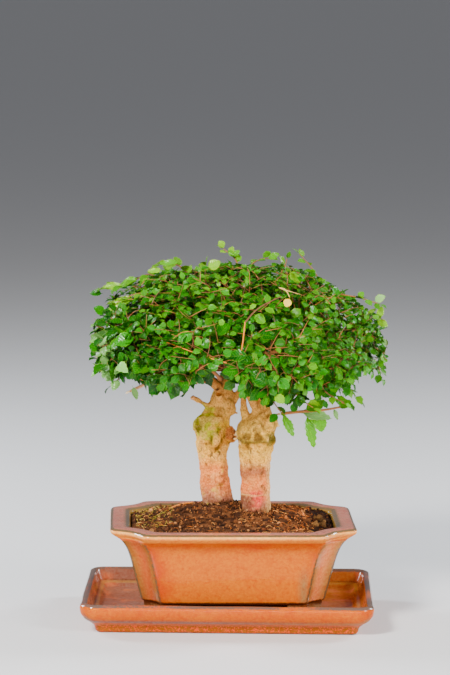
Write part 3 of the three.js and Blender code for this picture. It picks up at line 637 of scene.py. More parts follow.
ORANGE = np.array((0.51, 0.078, 0.0005))
PEACH = np.array((0.58, 0.116, 0.001))
RED_ORANGE = np.array((0.48, 0.038, 0.001))
LIP_ORANGE = np.array((0.74, 0.2, 0.018))
# Painted highlight: pale cream for a band along the lip
LIP_HIGHLIGHT = np.array((0.95, 0.46, 0.13))
NOTCH_PINK = np.array((0.5, 0.1, 0.03))
# Painted light: a lighter colour for the hollow corners on the right, as lit from that side
NOTCH_LIT_RIGHT = np.array((0.8, 0.23, 0.07))
MAUVE = np.array((0.46, 0.13, 0.085))
OLIVE_GOLD = np.array((0.24, 0.12, 0.02))
FOOT_OLIVE = np.array((0.24, 0.12, 0.045))
STREAK_OLIVE = np.array((0.27, 0.16, 0.06))
INSIDE_BROWN = np.array((0.2, 0.1, 0.02))


def blend(paint, share, colour):
    return paint * (1 - share[:, None]) + colour * share[:, None]


def painted_over(paint, coats):
    """The paint with coats laid over it in turn, each a share from 0 to 1 at every point and a colour."""
    for share, colour in coats:
        paint = blend(paint, share, colour)
    return paint


def facing(points, normals):
    """1 where the surface faces straight away from the pot's middle, -1 where it faces inward."""
    return (normals[:, :2] * unit(points[:, :2])).sum(axis=1)


def pot_colour(points, normals):
    """Broad colours of the pot's glaze: peach mid-panel, redder to the edges, mauve on the rim's top, a
    painted highlight band along the lip and painted light on the right-hand hollow corners.
    """
    level = points[:, 2]
    height = (level - BODY_BOTTOM) / (BODY_TOP - BODY_BOTTOM)
    flat = np.abs(points[:, :2])
    cloud = 0.5 * grain(points, 26 * MM, 61) + 0.3 * grain(points, 9 * MM, 62)
    from_middle = np.where(flat[:, 1] > 50 * MM, flat[:, 0] / (72 * MM), 0.75)
    edge = 0.7 * np.maximum(smoothstep(0.8, 1.0, height), smoothstep(0.6, 1.05, from_middle))
    lower_left = near(points, -62, -52, 32, 42)
    hollow = smoothstep(0.5 * MM, 3 * MM, hollow_depth(points)) * (height < 1) * (height > 0)
    streak = hump(points[:, 0] - 2 * MM * cloud, 57 * MM, 4 * MM) * (points[:, 1] < -40 * MM)
    streak *= smoothstep(58 * MM, 36 * MM, level) * (height > 0)
    # Painted highlight: a band along the upper lip
    highlight_band = hump(level, POT_TOP - 2.6 * MM, 0.8 * MM) * (1 + 0.8 * cloud)
    return painted_over(ORANGE, [
        (smoothstep(-0.25, 0.5, 0.45 - edge + cloud), PEACH),
        (0.8 * smoothstep(0.35, 1.0, edge + 0.7 * lower_left + 0.9 * cloud), RED_ORANGE),
        (0.6 * hollow, NOTCH_PINK),
        # Painted light on the right-hand hollow corners
        (0.8 * hollow * (points[:, 0] > 0), NOTCH_LIT_RIGHT),
        (0.8 * hollow * ridge_share(points, 7 * MM), OLIVE_GOLD),
        (0.75 * streak, STREAK_OLIVE),
        (0.9 * smoothstep(BODY_TOP + 0.5 * MM, BODY_TOP + 2 * MM, level), LIP_ORANGE),
        # Painted highlight band along the lip
        (np.clip(0.7 * highlight_band, 0, 1), LIP_HIGHLIGHT),
        (smoothstep(BODY_BOTTOM + 0.5 * MM, BODY_BOTTOM - 1 * MM, level), FOOT_OLIVE),
        (smoothstep(POT_TOP - 1.0 * MM, POT_TOP - 0.2 * MM, level + 0.3 * MM * cloud), MAUVE),
        (smoothstep(0.1, -0.5, facing(points, normals)) * (level > CAVITY_FLOOR), INSIDE_BROWN),
    ])


def hollow_depth(points):
    """How far points of the pot's own plan lie in from the rectangle that its hollow corners are cut from."""
    half = body_half_length(np.clip(points[:, 2], BODY_BOTTOM, BODY_TOP))
    return np.minimum(half - np.abs(points[:, 0]), half - POT_STEP - np.abs(points[:, 1]))


def pot_marks(points, normals):
    """Where the pot's glaze is thin on an edge, and where shade is painted along the body's bottom edge and
    under the lip.
    """
    height = points[:, 2]
    outward = facing(points, normals)
    ridge = ridge_share(points, 2.8 * MM) * (height < BODY_TOP - 1 * MM)
    rim_edge = 0.95 * hump(height, POT_TOP - 0.9 * MM, 0.85 * MM)
    inner = 0.8 * smoothstep(-0.3, -0.7, outward) * (height > POT_TOP - 1.3 * MM)
    # Painted shade along the body's bottom edge, over the dark gap between the feet
    bottom_shade = hump(height, BODY_BOTTOM - 0.6 * MM, 2.6 * MM)
    # Painted shadow just under the lip
    shadow_under_lip = 0.45 * hump(height, BODY_TOP + 0.4 * MM, 1.0 * MM) * (outward > 0)
    thin = np.maximum.reduce([ridge, rim_edge, inner])
    return np.stack([thin, np.maximum(bottom_shade, shadow_under_lip), np.zeros(len(points))], axis=1)


# Tray

CORNER_POINTS = 14


def rounded_outline(half_length, half_depth, radius):
    """Plan of the tray at one level: a rectangle with rounded corners."""
    share = np.linspace(0, math.pi / 2, CORNER_POINTS)
    arcs = []
    for quarter, (sign_x, sign_y) in enumerate(CORNER_SIGNS):
        turn = share + quarter * math.pi / 2
        centre = (sign_x * (half_length - radius), sign_y * (half_depth - radius))
        arcs.append(np.stack([np.cos(turn), np.sin(turn)], axis=1) * radius + centre)
    return joined(arcs, 2)


# Tray's profile up the outside, over the rim and to the middle of its floor: inset and height in millimetres
TRAY_PROFILE = mm((55, 0), (14.3, 0), (13.3, 1), (12.1, 5.8), (9.4, 8.1), (4.4, 11.6), (1.3, 16), (0.15, 20),
                  (0.2, 22.6), (1.0, 24.2), (2.6, 25.1), (4.4, 25), (6, 23.4), (9.6, 14.6), (13.4, 13.4),
                  (16, 10), (60, 10))


def make_tray():
    """The dish: an inset foot, a bulging wall, a round rim and a stepped floor."""
    rings = []
    for inset, height in dense_rows(TRAY_PROFILE, 1.4 * MM, 1):
        radius = max(4 * MM, TRAY_CORNER - 0.55 * inset)
        outline = rounded_outline(TRAY_HALF_LENGTH - inset, TRAY_HALF_DEPTH - inset, radius)
        rings.append(np.column_stack([outline, np.full(len(outline), height)]))
    rings = np.array(rings)
    flat = rings.reshape(-1, 3)
    lift = smoothstep(TRAY_FLOOR + 2 * MM, TRAY_HEIGHT, flat[:, 2])[:, None]
    sag = np.array((0, 0, 0.3 * MM)) * lift * (1 + grain(flat * (1, 1, 0.2), 30 * MM, 5))[:, None]
    moved = flat * (1 - 0.003 * lift * (1 + grain(flat, 24 * MM, 6))[:, None]) - sag
    points, faces = loft(moved.reshape(rings.shape))
    layers = {"colour": tray_colour(points), "marks": tray_marks(points)}
    made = make_piece("tray_glazed", points, faces, GLAZE_TRAY, layers, sharp=math.radians(60))
    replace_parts(made, "tray")


def tray_past(points):
    """How far out points lie from the tray's upright outer faces: negative inside."""
    return np.maximum(np.abs(points[:, 0]) - TRAY_HALF_LENGTH, np.abs(points[:, 1]) - TRAY_HALF_DEPTH)


def tray_foot(points):
    """1 on the band that the tray stands on."""
    return smoothstep(8.5 * MM, 6.5 * MM, points[:, 2]) * (tray_past(points) > -16 * MM)


TRAY_RED = np.array((0.44, 0.056, 0.0005))
TRAY_AMBER = np.array((0.28, 0.062, 0.001))
TRAY_MAUVE = np.array((0.22, 0.075, 0.045))
TRAY_BROWN = np.array((0.34, 0.085, 0.012))
TRAY_RUST = np.array((0.42, 0.09, 0.03))
# Painted highlight: gold for a line along the edge of the inner step
TRAY_STEP_HIGHLIGHT = np.array((0.34, 0.15, 0.02))


def tray_colour(points):
    """Broad colours of the tray's glaze: orange bulge, amber foot, mauve and orange-brown inside, with a
    painted highlight along the inner step.
    """
    height = points[:, 2]
    cloud = 0.5 * grain(points, 22 * MM, 71) + 0.35 * grain(points, 7 * MM, 72)
    inside = smoothstep(-3.4 * MM, -5.5 * MM, tray_past(points)) * (height > 9 * MM)
    to_right = smoothstep(-30 * MM, 60 * MM, points[:, 0] + 30 * MM * cloud)
    brown = painted_over(TRAY_MAUVE, [(to_right, TRAY_BROWN), (smoothstep(0.1, 0.5, cloud), TRAY_RUST)])
    return painted_over(ORANGE, [
        (smoothstep(0.0, 0.6, cloud), PEACH),
        (smoothstep(13 * MM, 9 * MM, height + 3 * MM * cloud), TRAY_RED),
        (tray_foot(points), TRAY_AMBER),
        (inside, brown),
        # Painted highlight along the edge of the inner step
        (0.6 * inside * hump(height, 13.6 * MM, 0.7 * MM), TRAY_STEP_HIGHLIGHT),
    ])


def tray_marks(points):
    """Where the tray's glaze is thin along the rim, where shade is painted along its bottom and at the inner
    step, and where it is speckled.
    """
    height = points[:, 2]
    line = smoothstep(TRAY_HEIGHT - 3.4 * MM, TRAY_HEIGHT - 1.6 * MM, height)
    wander = 0.35 * grain(points, 16 * MM, 73)
    # Painted shade in the crease at the inner step and along the bottom, where the tray meets the floor
    step = hump(height, 14.8 * MM, 0.9 * MM) * (tray_past(points) < -8 * MM)
    painted_shade = 0.8 * np.maximum(smoothstep(1.6 * MM, 0.2 * MM, height), step)
    rim_spots = 0.35 * line * smoothstep(0.0, 0.4, grain(points, 12 * MM, 74))
    speckled = np.maximum(0.85 * tray_foot(points), rim_spots)
    return np.stack([(0.75 + wander) * line, painted_shade, speckled], axis=1)


# Soil

def soil_height(x, y):
    """Mounded round the trunks, with low lumps: x and y are arrays in metres."""
    mound = SOIL_MOUND * np.exp(-(((x - 2 * MM) / (46 * MM)) ** 2 + ((y - 19 * MM) / (30 * MM)) ** 2) / 2)
    flat = np.stack([x, y, np.zeros_like(x)], axis=-1).reshape(-1, 3)
    lumps = 0.9 * MM * grain(flat, 9 * MM, 11) + 0.5 * MM * grain(flat, 3.5 * MM, 12)
    return SOIL_EDGE + mound + lumps.reshape(x.shape)


def blob(random, detail):
    """A crumb: a ball of triangles pulled about at random."""
    rings = 2 + detail
    sides = 4 + 2 * detail
    polar = np.linspace(0, math.pi, rings + 2)[1:-1]
    turns = np.linspace(0, 2 * math.pi, sides, endpoint=False)
    points = [(math.sin(p) * math.cos(t + p), math.sin(p) * math.sin(t + p), math.cos(p))
              for p in polar for t in turns]
    points = np.array([*points, (0, 0, 1), (0, 0, -1)])
    points *= random.uniform(0.7, 1.2, (len(points), 1))
    faces = []
    for level in range(rings - 1):
        for i in range(sides):
            a, b = level * sides + i, level * sides + (i + 1) % sides
            faces += [(a, a + sides, b), (b, a + sides, b + sides)]
    top, bottom, last = len(points) - 2, len(points) - 1, (rings - 1) * sides
    faces += [(top, i, (i + 1) % sides) for i in range(sides)]
    faces += [(bottom, last + (i + 1) % sides, last + i) for i in range(sides)]
    return points, faces


SOIL_TONES = np.array(((0.02, 0.008, 0.004), (0.05, 0.018, 0.008), (0.1, 0.038, 0.014), (0.19, 0.075, 0.026),
                       (0.36, 0.16, 0.06)))
FIBRE_TONES = np.array(((0.5, 0.13, 0.015), (0.36, 0.14, 0.035), (0.6, 0.3, 0.09), (0.22, 0.06, 0.012)))
MOSS_TONES = np.array(((0.3, 0.24, 0.03), (0.5, 0.36, 0.1), (0.14, 0.12, 0.015)))
BARK_STRIP = [(-54, 24, 82), (-47, 30, 84.5), (-38, 35, 87), (-30, 37, 88)]


def inside_cavity(places, inset):
    """True for points of the pot's own plan that lie in the cavity, at least inset from its wall."""
    half, cut, _, _ = cavity_row(SOIL_EDGE, inset)
    flat = np.abs(places)
    within = (flat[:, 0] < half) & (flat[:, 1] < half - POT_STEP)
    return within & (flat.sum(axis=1) < 2 * half - POT_STEP - cut)


HOLLOW_REACH = (62 * MM, 72 * MM)
# Painted shade: how much darker the soil and crumbs grow towards the right wall, where the hollow lies in
# shade
HOLLOW_SHADE = 0.8
# Dark brown of the stones in that hollow, darkened further as painted shade
PEBBLE_BROWN_SHADED = np.array((0.075, 0.036, 0.012))
TRUNK_FEET = (mm(-9.5, 25), mm(22.5, 5))
TRUNK_CLEARANCE = 10.5 * MM


def soil_places(random, count, inset):
    """Random places on the soil, clear of the pot's wall and of the trunks."""
    places = random.uniform(-1, 1, (4 * count, 2)) * (88 * MM, 66 * MM)
    places = in_pot(places[inside_cavity(places, inset)])
    clear = np.ones(len(places), bool)
    for foot in TRUNK_FEET:
        clear &= np.linalg.norm(places - foot, axis=1) > TRUNK_CLEARANCE
    return places[clear][:count]


def make_soil():
    rows = [cavity_row(CAVITY_FLOOR + GAP, 2.1 * MM)]
    rows += [cavity_row(height, GAP) for height in CAVITY_LEVELS]
    rings = [ring_at(*row) for row in rows]
    surface_edge = rings[-1]
    for share in (1 - np.linspace(0, 0.97, 46) ** 1.1):
        ring = surface_edge * (share, share, 1)
        placed = in_pot(ring)
        rim_drop = 1.5 * MM * smoothstep(0.95, 1.0, share)
        ring[:, 2] = soil_height(placed[:, 0], placed[:, 1]) - rim_drop
        rings.append(ring)
    points, faces = loft(np.array(rings))
    points = in_pot(points)
    tone = smoothstep(-0.4, 0.6, grain(points, 4 * MM, 14))[:, None]
    colour = SOIL_TONES[0] * (1 - tone) + SOIL_TONES[2] * tone
    # Painted shade in the hollow by the right wall
    colour = colour * (1 - HOLLOW_SHADE * smoothstep(*HOLLOW_REACH, points[:, 0]))[:, None]
    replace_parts(make_piece("soil_bed", points, faces, SOIL, {"colour": colour}), "soil")


def add_crumb(surface, random, x, y, detail, size, climb=0.0):
    points, faces = blob(random, detail)
    rusty = smoothstep(20 * MM, 70 * MM, x + 25 * MM * random.normal())
    tone = SOIL_TONES[random.choice(5, p=(0.3, 0.34, 0.24, 0.09, 0.03))] * random.uniform(0.7, 1.3)
    tone = tone * (1 + np.array((0.8, 0.4, 0.1)) * rusty)
    # Painted shade in the hollow by the right wall
    tone = tone * (1 - HOLLOW_SHADE * smoothstep(*HOLLOW_REACH, x))
    height = soil_height(np.array([x]), np.array([y]))[0] + 0.35 * size + climb
    stretch = random.uniform(0.6, 1.4, 3) * size
    surface.add(points * stretch + (x, y, height), faces, tone)


def make_crumbs():
    """Crumbs all over the soil, heaped against the feet of the trunks, and small stones by the right wall."""
    random = np.random.default_rng(21)
    surface = Surface()
    for detail, count, low, high in ((0, 3000, 0.35, 0.85), (1, 420, 0.8, 1.7)):
        for x, y in soil_places(random, count, 2.5 * MM):
            add_crumb(surface, random, x, y, detail, random.uniform(low, high) * MM)
    for foot in TRUNK_FEET:
        for _ in range(240):
            turn = random.uniform(0, 2 * math.pi)
            out = random.uniform(11, 16) * MM
            x, y = foot + out * np.array((math.cos(turn), math.sin(turn)))
            climb = random.uniform(0, 1) ** 2 * 3.2 * MM * (16 * MM - out) / (5 * MM)
            add_crumb(surface, random, x, y, 0, random.uniform(0.5, 1.1) * MM, climb)
    for x, y in random.uniform((70, -20), (80, 10), (9, 2)) * MM:
        pebble, faces = blob(random, 3)
        place = (x, y, soil_height(np.array([x]), np.array([y]))[0] + 1 * MM)
        # Stone colour, darkened for the hollow's painted shade
        tone = PEBBLE_BROWN_SHADED * random.uniform(0.4, 1.5)
        surface.add(pebble * random.uniform(1.4, 3, 3) * MM + place, faces, tone)
    points, faces, colour = surface.merged()
    make_piece("soil_crumbs", points, faces, SOIL, {"colour": colour}, sharp=math.radians(40))


def soil_fibre(surface, random, x, y, length, radius, tone):
    """A fibre that lies on the soil in a shallow bow."""
    turn = random.uniform(0, 2 * math.pi)
    bend = random.uniform(-1.2, 1.2)
    steps = np.linspace(-0.5, 0.5, 5)
    across = bend * length * steps ** 2
    flat = np.stack([x + length * steps * math.cos(turn) - across * math.sin(turn),
                     y + length * steps * math.sin(turn) + across * math.cos(turn)], axis=1)
    lift = (0.5 + random.uniform(0, 1.3) * (1 - 4 * steps ** 2)) * MM
    path = np.column_stack([flat, soil_height(flat[:, 0], flat[:, 1]) + lift])
    add_tube(surface, path, radius * np.array([0.4, 1, 1, 0.9, 0.3]), 4, tone)


def make_fibres():
    """Root fibres on the soil, a strip of orange bark at the back, and moss and straw by the left wall."""
    random = np.random.default_rng(22)
    surface = Surface()
    for x, y in soil_places(random, 520, 5 * MM):
        crowded = 0.35 + 0.65 * smoothstep(-10 * MM, 60 * MM, x)
        if random.uniform() < crowded and x < HOLLOW_REACH[1]:
            tone = FIBRE_TONES[random.integers(4)]
            soil_fibre(surface, random, x, y, random.uniform(2, 7) * MM, random.uniform(0.08, 0.2) * MM, tone)
    for x, y in soil_places(random, 900, 4 * MM):
        if x < -46 * MM and y > -30 * MM:
            tone = MOSS_TONES[random.integers(3)]
            soil_fibre(surface, random, x, y, random.uniform(2, 5) * MM, random.uniform(0.1, 0.22) * MM, tone)
    strip = smooth_curve(mm(*BARK_STRIP), 14)
    add_tube(surface, strip, np.linspace(1.5, 0.8, 14) * MM, 6, (0.5, 0.17, 0.035))
    points, faces, colour = surface.merged()
    make_piece("soil_fibres", points, faces, SOIL, {"colour": colour})


# Trunks. Each station is (height, middle, half width), from the root end to the leader, in millimetres.

LEFT_TRUNK = {
    "depth": 25,
    "stations": [(56, -9, 8), (78, -9.5, 12.8), (91, -9.5, 13.4), (99, -10.5, 12.2), (116, -12.2, 11.8),
                 (130, -14, 11.4), (142, -14, 14), (154, -14.2, 14.6), (163, -13, 12.4), (176, -6.5, 10.4),
                 (186, -5, 7.4), (197, -3, 5.4), (208, 1.5, 4.6)],
    "knobs": [(-23, 19, 156, 7.5), (0.5, 23, 148, 6.2), (-13, 14, 145, 7), (-2, 20, 172, 7),
              (-10, 15, 160, 5)],
    "stubs": [((-12, 20, 168), (-31.6, 17, 180), 3.2, 2.2), ((0, 24, 168), (7.7, 22, 165.5), 1.2, 0.8),
              ((-8, 18, 176), (-9, 12.5, 184), 4.2, 2.8), ((-3, 24, 164), (10, 26, 188), 3.8, 2.4),
              ((-10, 19, 165), (-11.5, 22, 190), 2.6, 1.8)],
    "leader": (1.5, 25, 206),
    "bare": ([(-27, 10, 203), (-61.8, -4, 195.5), (-84.7, -10, 186.4)], 1.7, 1.3),
}
RIGHT_TRUNK = {
    "depth": 5,
    "stations": [(56, 22.5, 8), (76, 22.7, 11.4), (92, 22.5, 12.1), (110, 22.2, 11.6), (127, 22, 11.8),
                 (138, 21.8, 14), (148, 22.2, 15.6), (157, 22, 14.4), (163, 24, 11.4), (168, 26.5, 8.4),
                 (184, 25.5, 6), (197, 23, 4.8)],
    "knobs": [(11.5, -1, 155, 6.6), (33.5, 0, 160, 6), (23, -6, 157, 6.5), (34.5, 3, 147, 4.5),
              (15, -6, 147, 5),
              (28, -7, 149, 4.5)],
    "stubs": [((14, 1, 151), (4.5, -1, 151.5), 1.3, 0.9), ((14, 1, 148), (3.6, -2, 148), 1.3, 0.9),
              ((16, 0, 145), (7.2, -3, 144.5), 1.3, 0.9), ((34, 3, 163), (41.5, 2, 158), 1, 0.8),
              ((17, -3, 160), (31, -8, 172.5), 2.5, 1.7), ((14, 2, 152), (10.5, 5, 190), 3.6, 2.2)],
    "leader": (23, 5, 195),
    "bare": ([(28, 2, 163), (34, -4, 167.5), (42, -9, 170.5)], 2.2, 1.5),
}
# Middle and reach of the hole in the left trunk
LEFT_HOLE = (-9.2, 11.5, 185, 6)
TRUNK_SIDES = 44
VOXEL = 0.94 * MM


def trunk_column(trunk):
    heights, middles, halves = np.array(trunk["stations"]).T
    levels = np.arange(heights[0], heights[-1] + 0.5, 1.5)
    middle = np.interp(levels, heights, middles)
    half = np.interp(levels, heights, halves)
    for _ in range(4):
        middle[1:-1] = (middle[:-2] + 2 * middle[1:-1] + middle[2:]) / 4
        half[1:-1] = (half[:-2] + 2 * half[1:-1] + half[2:]) / 4
    turns = np.linspace(0, 2 * math.pi, TRUNK_SIDES, endpoint=False)
    rings = []
    for level, x, width in zip(levels, middle, half):
        flutes = 1 + 0.05 * np.sin(3 * turns + 0.09 * level) + 0.03 * np.sin(5 * turns - 0.21 * level)
        radius = width * flutes
        rings.append(np.stack([x + radius * np.cos(turns), trunk["depth"] + 0.94 * radius * np.sin(turns),
                               np.full(TRUNK_SIDES, level)], axis=1))
    return loft(np.array(rings) * MM)


def knob_shape(x, y, z, radius):
    random = np.random.default_rng(int(abs(x * 7 + z)))
    points, faces = blob(random, 6)
    points = unit(points) * (1, 0.9, 1.1) * radius * MM
    return points * (1 + 0.1 * grain(points, 4 * MM, int(z)))[:, None] + mm(x, y, z), faces


def limb_shape(through, start, end, sides=12):
    path = smooth_curve(through, 26)
    radii = np.linspace(start, end, 26) * (1 + 0.1 * np.sin(np.linspace(0, 17, 26) + 900 * path[0, 0]))
    return loft(tube_rings(path, radii, sides))


def fused(name, shapes):
    """One closed skin round several shapes that overlap, eased where they meet."""
    whole = Surface()
    for points, faces in shapes:
        whole.add(points, triangles(faces))
    points, faces, _ = whole.merged()
    rough = loose_object(name, points, faces)
    skin = rough.modifiers.new("skin", "REMESH")
    skin.mode = "VOXEL"
    skin.voxel_size = VOXEL
    ease = rough.modifiers.new("ease", "SMOOTH")
    ease.factor = 0.5
    ease.iterations = 4
    mesh = bpy.data.meshes.new_from_object(rough.evaluated_get(bpy.context.evaluated_depsgraph_get()))
    bpy.data.objects.remove(rough)
    return mesh


def mesh_arrays(mesh):
    points = np.zeros(len(mesh.vertices) * 3)
    mesh.vertices.foreach_get("co", points)
    normals = np.zeros(len(mesh.vertices) * 3)
    mesh.vertex_normals.foreach_get("vector", normals)
    faces = [list(polygon.vertices) for polygon in mesh.polygons]
    return points.reshape(-1, 3), normals.reshape(-1, 3), faces


def near(points, x, y, z, reach):
    """1 at the given place in millimetres, easing to 0 at the given reach from it."""
    return np.clip(1 - np.linalg.norm(points - mm(x, y, z), axis=1) / (reach * MM), 0, 1)


def banded(heights, bands):
    """Colours that pass from band to band up the trunk."""
    levels = np.array([band[0] for band in bands]) * MM
    colours = np.array([bark_tone(*band[1:]) for band in bands])
    return np.stack([np.interp(heights, levels, colours[:, part]) for part in range(3)], axis=1)


def bark_tone(red, green, blue):
    """A colour given as it looks on screen, deepened for bark in a strong light."""
    return linear(red, green, blue) ** 1.22 * (1.12, 0.98, 0.74)


# Bands of bark up each trunk: height in millimetres, then the tone as it looks on screen
LEFT_BANDS = [(88, 104, 70, 58), (95, 178, 130, 116), (104, 226, 148, 98),
              (120, 238, 162, 94), (130, 252, 204, 106), (142, 250, 208, 96),
              (158, 246, 214, 84), (166, 250, 212, 124),
              (180, 238, 194, 120),
              (196, 192, 144, 88), (210, 130, 82, 44)]
RIGHT_BANDS = [(86, 110, 76, 64), (94, 180, 124, 110), (101, 228, 150, 104),
               (111, 236, 150, 88), (115, 214, 146, 92), (119, 180, 122, 92),
               (122, 184, 128, 96), (127, 222, 170, 100),
               (132, 246, 204, 104),
               (138, 232, 196, 96), (144, 222, 184, 86),
               (146.5, 132, 116, 48),
               (153, 238, 206, 104), (165, 240, 206, 120),
               (178, 222, 176, 104),
               (194, 184, 138, 84), (210, 130, 82, 44)]

MOSS_GREEN = bark_tone(204, 212, 38)
LUMP_BROWN = bark_tone(228, 166, 104)
CREAM = bark_tone(250, 214, 150)
# Painted shade inside the hole in the left trunk
HOLE_SHADE = bark_tone(80, 40, 24)
# Painted light: the pale bare limb, brightened to make up for the crown's shade on it
BARE_LIMB_BRIGHTENED = bark_tone(250, 210, 186)
CUT_STUB = bark_tone(236, 192, 146)
# Painted light: the cut end of that limb, brightened past white for the same reason
CUT_END_BRIGHTENED = bark_tone(255, 250, 244) * 1.3
SCAR_PINK = bark_tone(236, 96, 98)
PALE_EDGE = bark_tone(254, 220, 160)
# Painted shade for the side of the right trunk's base that faces the left trunk
SHADE_BETWEEN_TRUNKS = bark_tone(138, 98, 84)
RING_CREAM = bark_tone(252, 218, 160)
RING_LEVELS = (102 * MM, 127 * MM)
KNOB_GREEN = bark_tone(104, 108, 28)
STUB_TIP = bark_tone(252, 232, 190)
# Painted shade in the bark's crevices
CREVICE_SHADE = bark_tone(96, 66, 34)


def ragged(points, place, reach, roughness, seed, size=4):
    """How near points are to a place in millimetres, with a ragged edge."""
    return near(points, *place, reach) + roughness * grain(points, size * MM, seed)


def paint_left(points, plates):
    height = points[:, 2]
    cream = smoothstep(0.25, 0.6, plates) * (height < 165 * MM)
    high = smoothstep(112 * MM, 132 * MM, height)
    stub_end = LEFT_TRUNK["stubs"][0][1]
    return painted_over(banded(height + 3 * MM * grain(points, 9 * MM, 31), LEFT_BANDS), [
        (smoothstep(0.12, 0.42, ragged(points, (-25, 12, 158), 20, 0.3, 32)), MOSS_GREEN),
        (smoothstep(0.2, 0.5, ragged(points, (3, 19, 149), 11, 0.2, 33)), LUMP_BROWN),
        ((0.16 + 0.34 * high) * cream, CREAM),
        # Painted shade in the hole
        (smoothstep(0.25, 0.6, near(points, *LEFT_HOLE)), HOLE_SHADE),
        # Pale bare limb and its cut end, both brightened as painted light against the crown's shade
        (smoothstep(-34 * MM, -46 * MM, points[:, 0]), BARE_LIMB_BRIGHTENED),
        (smoothstep(0.2, 0.5, near(points, *stub_end, 6)), CUT_STUB),
        (smoothstep(-80 * MM, -82.5 * MM, points[:, 0]), CUT_END_BRIGHTENED),
    ])


def paint_right(points, plates):
    height = points[:, 2]
    cream = smoothstep(0.3, 0.65, plates) * (height < 165 * MM)
    high = smoothstep(118 * MM, 134 * MM, height)
    right_edge = smoothstep(29 * MM, 34 * MM, points[:, 0]) * smoothstep(140 * MM, 128 * MM, height)
    # Painted shade low on the base's left side, between the two trunks
    shaded_side = smoothstep(25 * MM, 17 * MM, points[:, 0]) * smoothstep(105 * MM, 99 * MM, height)
    waver = 0.6 * MM * grain(points, 6 * MM, 44)
    tips = [tip for _, tip, _, _ in RIGHT_TRUNK["stubs"][:4]]
    return painted_over(banded(height + 2.5 * MM * grain(points, 9 * MM, 41), RIGHT_BANDS), [
        (0.85 * smoothstep(0.2, 0.5, ragged(points, (22, -8, 98.5), 12, 0.2, 42)), SCAR_PINK),
        ((0.16 + 0.34 * high) * cream, CREAM),
        (0.55 * right_edge, PALE_EDGE),
        # Painted shade between the trunks
        (0.9 * shaded_side, SHADE_BETWEEN_TRUNKS),
        *[(0.55 * hump(height - level - waver, 0, 0.7 * MM), RING_CREAM) for level in RING_LEVELS],
        (0.7 * smoothstep(0.2, 0.5, ragged(points, (34, -2, 148), 10, 0.3, 43, size=3)), KNOB_GREEN),
        *[(smoothstep(0.2, 0.6, near(points, *tip, 4.5)), STUB_TIP) for tip in tips],
    ])


def make_trunk(name, trunk, routes, painter):
    shapes = [trunk_column(trunk)]
    shapes += [knob_shape(*knob) for knob in trunk["knobs"]]
    for start, end, first, last in trunk["stubs"]:
        ends = mm(start, end)
        shapes.append(limb_shape([ends[0], ends.mean(0), ends[1]], first * MM, last * MM, 10))
    through, first, last = trunk["bare"]
    shapes.append(limb_shape(mm(*through), first * MM, last * MM))
    shapes += [limb_shape(route["through"], route["start"], route["end"]) for route in routes
               if route["trunk"] is trunk]
    points, normals, faces = mesh_arrays(fused(name, shapes))
    squashed = points * (1, 1, 0.75)
    plates = grain(squashed, 6 * MM, 51) + 0.5 * grain(squashed, 2.6 * MM, 52)
    barky = smoothstep(190 * MM, 165 * MM, points[:, 2])
    steps = 0.6 * smoothstep(-0.05, 0.1, plates) + 0.4 * smoothstep(0.35, 0.48, plates)
    knuckles = 2.8 * (0.25 - np.abs(grain(points, 8 * MM, 53))) * hump(points[:, 2], 156 * MM, 16 * MM)
    raised = steps - 0.5 + 0.7 * grain(points, 10 * MM, 54) + 0.4 * grain(points, 2 * MM, 55) + knuckles
    raised = raised * barky
    raised += 0.16 * grain(points * (1, 1, 0.5), 2.2 * MM, 56)
    # Painted shade in the crevices, where the bark is sunk deepest
    crevice_shade = smoothstep(-0.45, -1.2, raised) * (0.75 - 0.35 * smoothstep(150 * MM, 160 * MM, points[:, 2]))
    moved = points + normals * (raised * MM)[:, None]
    if trunk is LEFT_TRUNK:
        sunk = 4.2 * smoothstep(0.35, 0.7, near(points, *LEFT_HOLE))
        moved -= mm(-0.1, -0.9, 0.5) * sunk[:, None]
    colour = blend(painter(moved, plates), crevice_shade, CREVICE_SHADE)
    piece = make_piece(f"{name}_bark", moved, faces, BARK, {"colour": colour})
    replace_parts(piece, name)


# Crown: where each spray sits, and the limbs that carry it

SPRAY_RINGS = [("rim", 9, 10, 0.79, 217), ("shoulder", 6, 30, 0.49, 256), ("top", 1, 90, 0.0, 273)]


def crown_sprays():
    sprays = []
    for ring, count, start, reach, height in SPRAY_RINGS:
        for i in range(count):
            turn = math.radians(start + 360 * i / count)
            sway = 4 * MM * math.sin(5.1 * i + 2.3 * count)
            centre = np.array((CROWN_MIDDLE[0] + (reach * CROWN_HALF[0] + sway) * math.cos(turn),
                               CROWN_MIDDLE[1] + (reach * CROWN_HALF[1] + sway) * math.sin(turn),
                               height * MM + 0.9 * sway))
            outward = unit((centre - CROWN_MIDDLE + (0, 0, CROWN_MIDDLE_DROP)) / CROWN_HALF ** 2)
            sprays.append({"name": f"spray_{ring}_{i + 1}", "ring": ring, "turn": turn, "centre": centre,
                           "outward": outward})
    return sprays


def turn_between(a, b):
    difference = abs(a - b) % (2 * math.pi)
    return min(difference, 2 * math.pi - difference)


